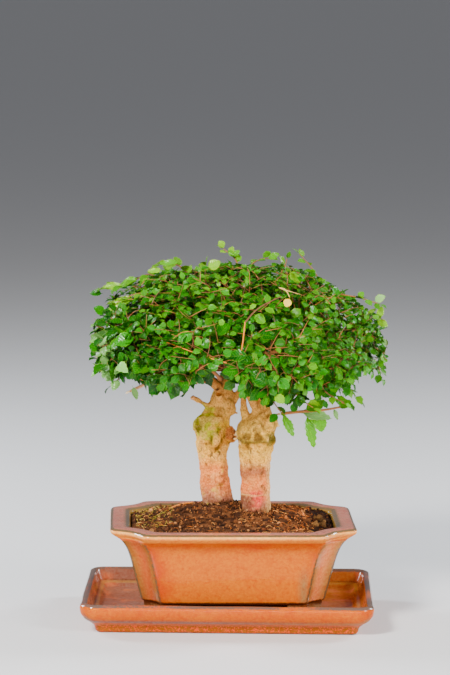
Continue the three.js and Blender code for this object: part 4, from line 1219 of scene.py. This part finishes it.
def limb_routes(sprays):
    """Limbs from the trunks to a fork under each shoulder spray, and on from the forks to the sprays."""
    forks, routes = [], []
    for spray in sprays:
        if spray["ring"] != "shoulder":
            continue
        turn = spray["turn"]
        at = np.array((CROWN_MIDDLE[0] + 0.27 * CROWN_HALF[0] * math.cos(turn),
                       CROWN_MIDDLE[1] + 0.27 * CROWN_HALF[1] * math.sin(turn),
                       (209 + 3 * math.sin(4 * turn + 1)) * MM))
        leftward = math.cos(turn) < -0.1 or math.sin(turn) > 0.9
        trunk = LEFT_TRUNK if leftward else RIGHT_TRUNK
        height, middle, _ = trunk["stations"][-3]
        start = mm(middle, trunk["depth"], height - 2)
        bend = (start + at) / 2 - (0, 0, 3.5 * MM)
        forks.append({"turn": turn, "at": at, "trunk": trunk})
        routes.append({"trunk": trunk, "through": [start, bend, at], "start": 4.2 * MM, "end": 3 * MM})
    for spray in sprays:
        if spray["ring"] == "top":
            trunk = LEFT_TRUNK if spray["centre"][0] < CROWN_MIDDLE[0] + 1 * MM else RIGHT_TRUNK
            route = branch_to(spray, mm(*trunk["leader"]), trunk)
        else:
            fork = min(forks, key=lambda fork: turn_between(fork["turn"], spray["turn"]))
            route = branch_to(spray, fork["at"], fork["trunk"])
        spray["branch"] = smooth_curve(route["through"], 20)
        routes.append(route)
    return routes


def branch_to(spray, start, trunk):
    end = spray["centre"] - 0.25 * CORE_THICKNESS * spray["outward"]
    side = unit(np.cross(spray["outward"], UP)) * 3.5 * MM * math.sin(7 * spray["turn"])
    bend = (start + end) / 2 + side + (0, 0, -3 * MM if spray["ring"] == "rim" else 1 * MM)
    return {"trunk": trunk, "through": [start, bend, end], "start": 2.9 * MM, "end": 1.7 * MM}


# Leaves

def leaf_template(breadth, teeth, rows):
    """A toothed blade one unit long with a short stalk: its points (along, across, side, layer) and faces.

    Its upper and lower face meet at the edge, so that it is one thin closed shape.
    """
    outline = [(-0.16, 0.012), (-0.02, 0.02)]
    for i in range(rows):
        along = 0.02 + 0.95 * i / (rows - 1)
        half = breadth * math.sin(math.pi * min(1, along ** 0.82 + 0.02)) ** 0.75
        tooth = teeth * (1 if i % 2 else -0.4) * (half > 0.3 * breadth)
        outline.append((along + 0.5 * max(tooth, 0), half + tooth))
    points = [(-0.18, 0, 0, 0)]
    for along, half in outline:
        points += [(along, -half, -1, 0), (along, 0, 0, 1), (along, half, 1, 0), (along, 0, 0, -1)]
    points.append((1.04, 0, 0, 0))
    faces = [(0, 2, 1), (0, 3, 2), (0, 1, 4), (0, 4, 3)]
    for row in range(len(outline) - 1):
        a, e = 1 + 4 * row, 5 + 4 * row
        for i in range(4):
            j = (i + 1) % 4
            faces += [(a + i, a + j, e + j), (a + i, e + j, e + i)]
    last = 1 + 4 * (len(outline) - 1)
    tip = len(points) - 1
    faces += [(tip, last + i, last + (i + 1) % 4) for i in range(4)]
    return np.array(points, float), np.array(faces)


LARGE = [leaf_template(0.38, 0.035, 9), leaf_template(0.34, 0.04, 9), leaf_template(0.43, 0.03, 9)]
SMALL = [leaf_template(0.37, 0.045, 6), leaf_template(0.31, 0.045, 6), leaf_template(0.42, 0.04, 6)]
SMALL_UNDER = 9.5 * MM
BLADE_THICKNESS = 0.14 * MM

DEEP = np.array((0.002, 0.09, 0.001))
GREEN = np.array((0.012, 0.19, 0.001))
FRESH = np.array((0.06, 0.27, 0.0005))
LIME = np.array((0.15, 0.38, 0.0005))
# Pale bluish green: painted sheen of the side lights on leaves at the crown's outer edges, also used for some
# pale young leaves
PALE_GREEN_SHEEN = np.array((0.18, 0.42, 0.11))
YELLOW = np.array((0.65, 0.4, 0.0))
CURLED = np.array((0.75, 0.56, 0.06))
BRIGHT = np.array((0.09, 0.4, 0.0))
YOUTH = np.array((0.0, 0.3, 0.65, 1.0))


def leaf_colour(youth):
    """Deep green for an old leaf, through fresh green, to lime for a young one."""
    return np.array([np.interp(youth, YOUTH, part) for part in zip(DEEP, GREEN, FRESH, LIME)])


def leaf_box():
    """The room that leaves may take: the box of all the foliage's solids."""
    boxes = [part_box(name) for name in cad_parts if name.startswith(("spray", "shoot"))]
    low = np.min([np.array(low) for low, _ in boxes], axis=0)
    high = np.max([np.array(high) for _, high in boxes], axis=0)
    return low + 0.1 * MM, high - 0.1 * MM


LEAF_BOX = leaf_box()


class Leaves:
    """Leaves gathered for one piece."""

    def __init__(self, random):
        self.random = random
        self.surface = Surface()
        self.uv = []

    def add(self, root, along, face, length, colour, template=None, bend=None, fold=None, scale=1.0):
        """Hangs one leaf from its root. A leaf that would stand out of the crown's room is left out."""
        random = self.random
        if template is None:
            template = (SMALL if length < SMALL_UNDER or scale > 1 else LARGE)[random.integers(3)]
        shape, faces = template
        along = unit(np.asarray(along, float))
        across = unit(np.cross(face, along))
        upright = np.cross(along, across)
        bend = random.uniform(0.0, 0.3) if bend is None else bend
        fold = random.uniform(0.1, 0.55) if fold is None else fold
        u, y, side, layer = shape.T
        ripple = 0.025 * np.sin(9 * u + random.uniform(0, 6)) * np.abs(side)
        rise = fold * np.abs(y) - bend * np.clip(u, 0, 2) ** 2 + 0.06 * u + ripple
        points = root + length * ((u + 0.18)[:, None] * along + y[:, None] * across + rise[:, None] * upright)
        points += (layer * BLADE_THICKNESS)[:, None] * upright
        if np.any(points < LEAF_BOX[0]) or np.any(points > LEAF_BOX[1]):
            return
        self.surface.add(points, faces, np.clip(colour, 0, 0.95))
        self.uv.append(np.stack([np.clip(u, 0, 1), 0.5 + 0.5 * side], axis=1))

    def piece(self, name, node):
        points, faces, colour = self.surface.merged()
        made = make_piece(name, points, faces, LEAF, {"colour": colour}, np.concatenate(self.uv),
                          math.radians(75))
        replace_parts(made, node)


# Crown

DOME_POWER = 2.5
TARGETS = 372
TOP_CROWDING = 1.25
INNER_TARGETS = 205
INNER_REACH = 0.7
SIDE_TWIGS = 3
LEVEL_TWIGS = 7
CORE_TARGETS = 52
CORE_REACH = 0.38
INNER_SCALE = 1.4
INTERNODE = 4.4 * MM
TWIG_RADIUS = 0.62 * MM
SIDE_TWIG_RADIUS = 0.46 * MM
LEVEL_TWIG_RADIUS = 0.42 * MM

# Lengths from least to most, in millimetres
SIDE_TWIG_LENGTH = (13, 21)
LEVEL_TWIG_LENGTH = (16, 28)
LEAF_LENGTH = (7, 11.6)
LARGE_LEAF_LENGTH = (12, 15)

YELLOW_CHANCE = 0.0012
# Share of leaves at the outer left and lower right that take the pale painted sheen
PALE_SHEEN_CHANCE = 0.6

# Heights, side and depth that set how large and how light a leaf is
LEAF_LOW = 200 * MM
LEAF_HIGH = 280 * MM
LEAF_RIGHT = 90 * MM
FRONT_HALF = 10 * MM
TWIG_BROWN = np.array((0.13, 0.05, 0.018))
TWIG_TAN = np.array((0.36, 0.13, 0.028))
TWIG_ORANGE = np.array((0.6, 0.19, 0.015))
TWIG_PALE = np.array((0.8, 0.5, 0.12))

# Lower edge of the leaves as seen from the front, at the depth UNDERSIDE_AT: (x, height) in millimetres
UNDERSIDE = np.array([(-112, 215), (-98, 208), (-70, 208), (-60, 201), (-44, 189), (-35, 190), (-26, 206),
                      (-8, 220),
                      (3, 209), (14, 187), (34, 173), (56, 170), (72, 180), (98, 189), (106, 212),
                      (124, 208)]) * MM
UNDERSIDE_AT = -50 * MM

# Upper edge of the leaves as seen from the front, at the depth TOPSIDE_AT
TOPSIDE = np.array([(-118, 262), (-104, 271), (-85, 278), (-65, 286), (-52, 291), (-33, 291), (-20, 295),
                    (-8, 297),
                    (2, 295), (8, 292), (22, 295), (34, 296), (52, 295), (62, 289), (84, 278), (97, 270),
                    (110, 260),
                    (126, 250)]) * MM
TOPSIDE_AT = -10 * MM
VIEW_SLOPE = 0.15


def underside(x, y):
    """Least height of a leaf at that place."""
    return np.interp(x, UNDERSIDE[:, 0], UNDERSIDE[:, 1]) - VIEW_SLOPE * (y - UNDERSIDE_AT)


def topside(x, y):
    """Greatest height of a leaf's root at that place."""
    return np.interp(x, TOPSIDE[:, 0], TOPSIDE[:, 1]) - VIEW_SLOPE * (y - TOPSIDE_AT)


def crown_shells(count, reach_share):
    """Places for twig ends from the crown's middle, spread over its dome and under its rim."""
    shells = []
    for i in range(count):
        rise = 1 - 2 * ((i + 0.5) / count) ** TOP_CROWDING
        flat = math.sqrt(1 - rise * rise)
        if rise < 0 and flat < 0.6:
            continue
        turn = GOLDEN_ANGLE * i
        direction = np.array((flat * math.cos(turn), flat * math.sin(turn), rise))
        power = DOME_POWER if rise > 0 else 2
        reach = (np.abs(direction) ** power).sum() ** (-1 / power)
        half = np.array((CROWN_HALF[0], CROWN_HALF[1], CROWN_HALF[2] if rise > 0 else CROWN_HANG))
        shells.append(reach_share * reach * direction * half)
    return shells


def in_room(place, margin):
    """The place moved inside the leaves' room and between the crown's lower and upper edge."""
    placed = np.clip(place, LEAF_BOX[0] + margin, LEAF_BOX[1] - margin)
    lowest = underside(placed[0], placed[1]) + margin
    highest = topside(placed[0], placed[1]) - 2 * margin
    placed[2] = np.clip(placed[2], lowest, highest)
    return placed


def grow_spray(spray, shells, random, leaves, wood):
    """Twigs from the spray's branch out to its share of the crown's skin, with side twigs, all in leaf."""
    branch = spray["branch"]
    for shell in shells:
        lump = 0.07 * grain(shell[None], 28 * MM, 81)[0]
        tip = in_room(CROWN_MIDDLE + shell * (random.uniform(0.84, 1.0) + lump), 2 * MM)
        inner = np.linalg.norm(shell / CROWN_HALF) < 0.5 * (1 + INNER_REACH)
        nearest = int(np.argmin(np.linalg.norm(branch - tip, axis=1)))
        start = branch[int(np.clip(nearest - random.integers(0, 7), 6, 19))]
        reach = np.linalg.norm(tip - start)
        outward = unit(shell / CROWN_HALF ** 2 * (1, 1, 0.2 if inner else 1))
        bow = random.normal(0, 0.07, 3) * reach + 0.14 * reach * UP
        path = smooth_curve([start, (start + tip) / 2 + bow, tip], 9)
        scale = INNER_SCALE if inner else 1.0
        first = max(0.35, 1 - 30 * MM / reach)
        leafy_twig(path, TWIG_RADIUS, outward, random, leaves, wood, first, scale=scale)
        east = unit(np.cross(UP, outward) + (1e-6, 0, 0))
        north = np.cross(outward, east) * (1, 1, 0.6)
        for i in range(2 if inner else SIDE_TWIGS):
            foot = path[7 - i]
            turn = 2 * math.pi * i / SIDE_TWIGS + random.uniform(0, 2)
            sideways = math.cos(turn) * east + math.sin(turn) * north
            length = random.uniform(*SIDE_TWIG_LENGTH) * MM
            end = in_room(foot + length * unit(0.35 * outward + sideways), 2 * MM)
            bend = (foot + end) / 2 + random.normal(0, 0.06, 3) * length + 0.06 * length * UP
            side_path = smooth_curve([foot, bend, end], 5)
            leafy_twig(side_path, SIDE_TWIG_RADIUS, outward, random, leaves, wood, scale=scale)
    for _ in range(LEVEL_TWIGS):
        lay_level_twig(spray, random, leaves, wood)


def lay_level_twig(spray, random, leaves, wood):
    """A twig that lies level along the crown's skin near the spray, with its leaves spread out flat."""
    around = unit((spray["centre"] - CROWN_MIDDLE) / CROWN_HALF + random.normal(0, 0.3, 3))
    around[2] = abs(around[2])
    reach = (np.abs(around) ** DOME_POWER).sum() ** (-1 / DOME_POWER)
    middle = CROWN_MIDDLE + random.uniform(0.9, 0.98) * reach * around * CROWN_HALF
    length = random.uniform(*LEVEL_TWIG_LENGTH) * MM
    level = unit(np.cross(UP, around) + random.normal(0, 0.25, 3) * (1, 1, 0.3))
    ends = [middle + 0.5 * side * length * level - 0.16 * length * around for side in (-1, 1)]
    path = smooth_curve([in_room(place, 2 * MM) for place in (ends[0], middle, ends[1])], 7)
    leafy_twig(path, LEVEL_TWIG_RADIUS, UP, random, leaves, wood, first=0.05)


def point_along(path, share):
    """The place and heading at a share of a path's points."""
    place = share * (len(path) - 1)
    low = min(int(place), len(path) - 2)
    step = path[low + 1] - path[low]
    return path[low] + step * (place - low), unit(step)


def leafy_twig(path, radius, outward, random, leaves, wood, first=0.2, leaf=None, youth=0.0, scale=1.0):
    """One woody twig with leaves on alternate sides and one at its tip."""
    length = np.linalg.norm(np.diff(path, axis=0), axis=1).sum()
    count = max(2, int(length * (1 - first) / (INTERNODE if leaf is None else 0.55 * leaf)))
    tone = random.uniform(0, 1)
    colour = TWIG_BROWN * (1 - tone) + TWIG_TAN * tone
    add_tube(wood, path, np.linspace(radius, 0.4 * radius, len(path)), 4 if radius > 0.5 * MM else 3, colour)
    for i in range(count + 1):
        share = first + (1 - first) * i / count
        root, heading = point_along(path, share)
        side = i % 2 * 2 - 1
        grow_leaf(root, heading, outward, share, side, i == count, random, leaves, leaf, youth, scale)


def grow_leaf(root, heading, outward, share, side, last, random, leaves, leaf, youth, scale):
    """A leaf of the size, set and colour that leaves have at that height and side of the crown."""
    if leaf is None:
        lowest = underside(root[0], root[1]) + random.uniform(1, 7) * MM
        highest = topside(root[0], root[1]) - random.uniform(0, 4) * MM
        if root[2] < lowest or root[2] > highest:
            return
    high = np.clip((root[2] - LEAF_LOW) / (LEAF_HIGH - LEAF_LOW), 0, 1)
    right = np.clip(root[0] / LEAF_RIGHT, -1, 1)
    front = root[1] < FRONT_HALF
    lean = max(outward[2], 0)
    face = unit(0.8 * outward + UP * (0.25 + 0.6 * lean) + random.normal(0, 0.42 - 0.08 * lean, 3))
    sideways = unit(np.cross(face, heading)) * side
    spread = 0.1 if last else random.uniform(0.7, 1.4)
    along = unit(heading + sideways * spread - 0.2 * UP + random.normal(0, 0.16, 3))
    size = leaf
    if leaf is None:
        size = scale * random.uniform(*LEAF_LENGTH) * MM * (1 - 0.2 * high) * (1 - 0.25 * share ** 3)
        size *= 1 - 0.1 * max(right, 0)
        if front and high < 0.6 and random.uniform() < 0.08 - 0.08 * right:
            size = random.uniform(*LARGE_LEAF_LENGTH) * MM
    elif last:
        size = 0.75 * leaf
    tone = 0.08 + 0.26 * high ** 1.5 + 0.2 * share ** 2 + (0.2 - 0.24 * high ** 2) * right
    tone += random.normal(0, 0.17) + youth
    depth = np.linalg.norm((root - CROWN_MIDDLE) / CROWN_HALF)
    # Painted shade: leaves deeper in the crown are darker, and low on the right a little lighter
    shade = (0.86 + 0.18 * max(right, 0) * (1 - high)) * (0.5 + 0.5 * smoothstep(0.55, 0.85, depth))
    colour = leaf_colour(np.clip(tone, 0, 1)) * random.uniform(0.6, 1.3) * shade
    low = np.clip((246 * MM - root[2]) / (25 * MM), 0, 1)
    # Painted sheen: some leaves low on the outer left and the outer right take the pale bluish green
    at_left = np.clip(-(root[0] + 76 * MM) / (24 * MM), 0, 1) * low
    at_right = 0.25 * np.clip((root[0] - 92 * MM) / (28 * MM), 0, 1) * (root[2] < 235 * MM)
    if random.uniform() < PALE_SHEEN_CHANCE * max(at_left, at_right):
        colour = 0.45 * colour + 0.55 * PALE_GREEN_SHEEN * random.uniform(0.9, 1.5)
    if random.uniform() < YELLOW_CHANCE and not front:
        colour = YELLOW
    if leaf is None and in_clearing(root):
        return
    leaves.add(root, along, face, size, colour, scale=scale)


# Leafy shoots that stand out of the crown, by spray: route, leaf length and how young
SHOOTS = {
    "spray_top_1": [([(6, -6, 274), (7, -9, 287), (4, -10, 297), (-5.5, -10, 305.5)], 7, 0.35),
                    ([(12, -4, 276), (15, -9, 290), (24, -10, 297), (31, -10, 298)], 9, 0.25),
                    ([(-18, -26, 272), (-20, -28, 286), (-19, -30, 293)], 10, 0.35)],
    "spray_shoulder_1": [([(72, 22, 268), (71, 20, 280), (64, 20, 290), (56, 20, 299)], 7.5, 0.25)],
    "spray_shoulder_2": [([(36, 40, 272), (44, 36, 286), (46, 34, 293)], 8, 0.3)],
    "spray_shoulder_3": [([(-46, 0, 272), (-66, 0, 283), (-85, 0, 274), (-104, 0, 271)], 10, 0.3),
                         ([(-30, -8, 280), (-42, -14, 292), (-56, -18, 293)], 10, 0.35)],
    "spray_shoulder_4": [([(-50, -20, 262), (-72, -22, 270), (-92, -22, 262)], 10, 0.4)],
    "spray_shoulder_6": [([(80, -6, 270), (97, -2, 267), (110, 0, 264), (122, 0, 260)], 7.5, 0.2)],
    "spray_rim_1": [([(100, 8, 236), (112, 4, 250), (120, 2, 250), (126, 0, 246)], 8.5, 0.45),
                    ([(106, 6, 232), (120, 2, 233), (126, 1, 224), (122, 0, 211), (124, 0, 199)], 7.5, 0.1)],
    "spray_rim_5": [([(-92, 10, 225), (-104, 4, 232), (-113, 2, 232)], 9, 0.1)],
    "spray_rim_6": [([(-88, -14, 210), (-98, -10, 206), (-106, -6, 204)], 11, 0.0),
                    ([(-84, -16, 204), (-92, -14, 197), (-97, -10, 192)], 10, 0.0)],
    "spray_rim_8": [([(28, -34, 196), (36, -46, 186), (42, -50, 178)], 9.5, 0.1),
                    ([(50, -36, 196), (60, -46, 187), (68, -50, 182)], 9.5, 0.15)],
    "spray_rim_9": [([(72, -40, 198), (84, -46, 190), (93, -46, 186)], 9, 0.15),
                    ([(84, -30, 202), (96, -24, 194), (106, -20, 184)], 8.5, 0.15),
                    ([(78, -34, 198), (86, -28, 186), (97, -22, 180)], 8.5, 0.15)],
}

# Single leaves that catch the eye: root, tip, half width share and colour, by spray
SHOWN_LEAVES = {
    "spray_rim_8": [((17.2, -78, 228), (-3, -79, 226), 0.3, DEEP),
                    ((33, -76, 203), (17, -78, 214), 0.42, DEEP),
                    ((36, -74, 196), (45, -75, 189), 0.42, LIME)],
    "spray_rim_7": [((-27, -77, 246.5), (-41, -78, 237), 0.36, GREEN),
                    ((46.3, -60, 209), (44, -60, 201), 0.3, YELLOW)],
    "spray_rim_6": [((-74, -56, 239.5), (-92, -58, 233), 0.38, GREEN),
                    ((-92, -8, 205), (-101, -9, 196), 0.4, PALE_GREEN_SHEEN),
                    ((-107, -4, 211), (-118, -4, 207), 0.28, PALE_GREEN_SHEEN),
                    ((-79, -12, 193), (-75, -12, 181), 0.24, PALE_GREEN_SHEEN)],
    "spray_shoulder_3": [((-40, -17, 295), (-58, -18, 293.5), 0.17, FRESH),
                         ((-74, 0, 280.5), (-90, 0, 273), 0.24, FRESH),
                         ((-86, 0, 274), (-105, 0, 271.4), 0.2, LIME),
                         ((-103.5, 0, 267), (-115, 0, 267), 0.3, DEEP)],
    "spray_shoulder_4": [((-76, -20, 268.5), (-99, -20, 255.5), 0.17, LIME),
                         ((-74, -20, 267), (-58, -21, 263), 0.24, PALE_GREEN_SHEEN),
                         ((-54, -22, 289), (-67, -22, 288), 0.24, LIME)],
    "spray_rim_5": [((-101, 0, 250), (-111.5, 0, 255.5), 0.42, GREEN)],
    "spray_top_1": [((-5, -10, 305.5), (-9.5, -10, 312), 0.46, LIME),
                    ((4, -10, 299), (-2, -10, 304), 0.42, FRESH),
                    ((2, -10, 300), (8, -10, 304), 0.36, FRESH),
                    ((30, -10, 297), (40, -10, 302), 0.3, FRESH),
                    ((-19, -30, 291), (-7, -30, 297), 0.4, LIME),
                    ((48, -24, 290), (57, -26, 280), 0.42, LIME),
                    ((19.5, -70, 260), (29, -70, 252), 0.4, FRESH),
                    ((48.3, -66, 272.6), (45, -67, 265), 0.46, CURLED)],
    "spray_shoulder_6": [((117, 0, 262), (126.5, 0, 267), 0.38, PALE_GREEN_SHEEN),
                         ((104, 0, 265), (109, 0, 270), 0.45, FRESH)],
    "spray_rim_1": [((121, 0, 248), (124, 0, 259), 0.3, LIME), ((119, 0, 247), (129, -1, 242), 0.35, LIME),
                    ((122, 0, 232), (128.5, 0, 226), 0.34, PALE_GREEN_SHEEN)],
}

# Bare twigs that show in front of the leaves
SHOWN_TWIGS = [
    ([(6, -50, 218), (10.6, -78, 233), (13.1, -80, 254.7)], 0.85, TWIG_ORANGE),
    ([(13.1, -80, 254.2), (20.2, -76, 262.2), (29, -71, 268), (41.6, -66, 273.5)], 0.7, TWIG_BROWN),
    ([(-62, -48, 238), (-46.2, -75, 236.1), (-26, -80, 229.4)], 0.65, TWIG_ORANGE),
    ([(-30, -50, 232), (-17.5, -78, 226.5), (-1, -81, 221.8)], 0.7, TWIG_ORANGE),
    ([(60, -30, 270), (40.1, -62, 279.6), (44.8, -64, 279), (48.1, -65, 272.7)], 0.5, TWIG_PALE),
    ([(14, 5, 190), (34, -8, 197), (52.7, 0, 205), (70, 0, 222)], 1.6, TWIG_TAN),
    ([(20, -18, 196), (24, -52, 214), (32, -64, 226), (44, -68, 234)], 2.4, TWIG_TAN),
    ([(46, -50, 216), (37, -66, 224), (28, -70, 229)], 1.2, TWIG_TAN),
    ([(30, 0, 180), (38, -30, 192), (47, -52, 206), (58, -58, 219)], 2.0, TWIG_TAN),
    ([(-8, 8, 196), (-10, -30, 205), (-17, -50, 214), (-30, -56, 222)], 1.8, TWIG_TAN),
    ([(24, -20, 204), (55, -50, 208), (84, -48, 214)], 0.9, TWIG_TAN),
    ([(-20, -10, 196), (-55, -50, 200), (-78, -48, 206)], 0.9, TWIG_TAN),
]


def shown_leaf(leaves, root, tip, breadth, colour):
    """A leaf from one place to another that turns its face to the viewer."""
    root, tip = mm(*root), mm(*tip)
    face = unit(np.array((0.1, -0.8, 0.55)))
    length = np.linalg.norm(tip - root) / 1.2
    leaves.add(root, tip - root, face, length, colour, leaf_template(breadth, 0.03, 11), 0.06, 0.25)


# Where limbs show between the leaves: middle and reach, in millimetres
LIMB_WINDOWS = [((33, -66, 228), 8), ((47, -56, 206), 7), ((-14, -56, 213), 7)]


def clearings():
    """Middle and reach of each limb and front leaf that other leaves would hide."""
    places = [(mm(*middle), reach * MM) for middle, reach in LIMB_WINDOWS]
    for group in SHOWN_LEAVES.values():
        for root, tip, *_ in group:
            ends = mm(root, tip)
            if ends[0][1] < -50 * MM:
                places.append((ends.mean(0), 0.55 * np.linalg.norm(ends[1] - ends[0])))
    return places


CLEARINGS = clearings()


def in_clearing(root):
    """True where a leaf would hide a limb or a leaf that the front shows."""
    return any(root[1] < middle[1] + 4 * MM and np.linalg.norm((root - middle)[[0, 2]]) < reach
               for middle, reach in CLEARINGS)


def make_crown(sprays):
    shells = crown_shells(TARGETS, 1.0) + crown_shells(INNER_TARGETS, INNER_REACH)
    shells += crown_shells(CORE_TARGETS, CORE_REACH)
    spots = np.array([CROWN_MIDDLE + 0.9 * shell for shell in shells])
    centres = np.array([spray["centre"] + 4 * MM * spray["outward"] for spray in sprays])
    owner = np.linalg.norm(spots[:, None] - centres[None], axis=2).argmin(axis=1)
    wood = Surface()
    for number, spray in enumerate(sprays):
        random = np.random.default_rng(100 + number)
        leaves = Leaves(random)
        own = [shell for shell, whose in zip(shells, owner) if whose == number]
        grow_spray(spray, own, random, leaves, wood)
        for through, size, youth in SHOOTS.get(spray["name"], []):
            path = smooth_curve(mm(*through), 12)
            side = unit(np.array((0.1, -0.5, 0.8)))
            leafy_twig(path, 0.8 * MM, side, random, leaves, wood, first=0.1, leaf=size * MM, youth=youth)
        for shown in SHOWN_LEAVES.get(spray["name"], []):
            shown_leaf(leaves, *shown)
        leaves.piece(f"{spray['name']}_leaves", spray["name"])
    for through, radius, colour in SHOWN_TWIGS:
        path = smooth_curve(mm(*through), 14)
        add_tube(wood, path, np.linspace(radius, 0.6 * radius, 14) * MM, 7, colour)
    make_low_shoot(wood)
    points, faces, colour = wood.merged()
    make_piece("twigs", points, faces, TWIG, {"colour": colour})


LOW_SHOOT = [(42.3, -9.1, 170.6), (60, -12, 173), (78, -12, 174.5), (97, -10, 178)]
LOW_LEAVES = [((60, -12, 174), (80, -13, 181.5), 0.3, FRESH), ((57, -12, 172), (84, -13, 167.5), 0.2, PALE_GREEN_SHEEN),
              ((72, -12, 171), (76, -13, 156), 0.42, BRIGHT),
              ((63, -12.1, 172), (69.5, -14, 142.5), 0.17, BRIGHT),
              ((43, -9.6, 171), (53, -13, 151.8), 0.2, BRIGHT), ((66, -12, 172), (73, -13, 162), 0.4, BRIGHT),
              ((88, -11, 176), (100, -11, 182), 0.36, FRESH), ((85, -11, 176), (88.5, -12, 166), 0.22, PALE_GREEN_SHEEN),
              ((50, -11, 172), (56, -12, 180), 0.4, GREEN), ((40, -10, 171), (33, -14, 164), 0.38, GREEN)]


def make_low_shoot(wood):
    """The leafy limb at the lower right, with long pale young leaves that hang from it."""
    leaves = Leaves(np.random.default_rng(9))
    path = smooth_curve(mm(*LOW_SHOOT), 14)
    add_tube(wood, path, np.linspace(1.4, 0.7, 14) * MM, 7, TWIG_TAN)
    for shown in LOW_LEAVES:
        shown_leaf(leaves, *shown)
    leaves.piece("shoot_hanging_leaves", "shoot_hanging")


# Stage, light and camera

FLOOR_REACH = 30
FLOOR_TONE = (226, 226, 228)


def make_floor():
    points = [(x * FLOOR_REACH, y * FLOOR_REACH, -0.2 * MM) for x, y in ((-1, -1), (1, -1), (1, 1), (-1, 1))]
    floor = loose_object("floor", points, [(0, 1, 2, 3)])
    shader = Shader("floor", 0.6, 0.3)
    floor.data.materials.append(shader.finish(linear(*FLOOR_TONE)))


def area_light(name, place, aim, size, power, colour):
    data = bpy.data.lights.new(name, "AREA")
    data.shape = "RECTANGLE"
    data.size, data.size_y = size
    data.energy = power
    data.color = colour
    light = bpy.data.objects.new(name, data)
    light.location = place
    back = unit(np.array(place, float) - np.array(aim, float))
    side = unit(np.cross(UP, back))
    turned = np.stack([side, np.cross(back, side), back], 1)
    light.matrix_world = Matrix([[*row, at] for row, at in zip(turned, place)] + [[0, 0, 0, 1]])
    bpy.context.scene.collection.objects.link(light)


# Lights: name, place, size, power and colour
LIGHTS = [
    ("key", (-0.75, -1.25, 1.15), (0.36, 0.36), 56, (1.0, 0.97, 0.92)),
    ("fill", (1.2, -1.0, 0.7), (0.35, 0.5), 22, (1.0, 0.96, 0.9)),
    ("front", (0.15, -1.9, 0.3), (0.8, 0.3), 11, (1.0, 0.97, 0.93)),
    ("rim_left", (-1.2, 0.6, 0.7), (0.3, 0.5), 24, (0.86, 0.93, 1.0)),
    ("rim_right", (1.2, 0.6, 0.8), (0.3, 0.5), 24, (0.92, 0.96, 1.0)),
]
LIGHTS_AIM = (0, 0, 0.17)
WORLD_TONE = (0.93, 0.95, 1.0, 1)
WORLD_STRENGTH = 0.2


def make_lights():
    for name, place, size, power, colour in LIGHTS:
        area_light(name, place, LIGHTS_AIM, size, power, colour)
    world = bpy.data.worlds.new("studio")
    world.use_nodes = True
    background = world.node_tree.nodes["Background"]
    background.inputs["Color"].default_value = WORLD_TONE
    background.inputs["Strength"].default_value = WORLD_STRENGTH
    bpy.context.scene.world = world


def make_camera():
    data = bpy.data.cameras.new("camera")
    data.sensor_width = SENSOR
    data.lens = FOCAL_PIXELS / IMAGE_HEIGHT * SENSOR
    data.clip_end = 100
    camera = bpy.data.objects.new("camera", data)
    turned = Matrix.Rotation(CAMERA_TURN, 4, "Z") @ Matrix.Rotation(math.pi / 2 - CAMERA_PITCH, 4, "X")
    camera.matrix_world = Matrix.Translation(CAMERA_AT) @ turned @ Matrix.Rotation(CAMERA_ROLL, 4, "Z")
    bpy.context.scene.collection.objects.link(camera)
    bpy.context.scene.camera = camera


make_camera()
make_lights()
make_floor()
make_tray()
make_pot()
make_soil()
make_crumbs()
make_fibres()
SPRAYS = crown_sprays()
ROUTES = limb_routes(SPRAYS)
make_trunk("trunk_left", LEFT_TRUNK, ROUTES, paint_left)
make_trunk("trunk_right", RIGHT_TRUNK, ROUTES, paint_right)
make_crown(SPRAYS)
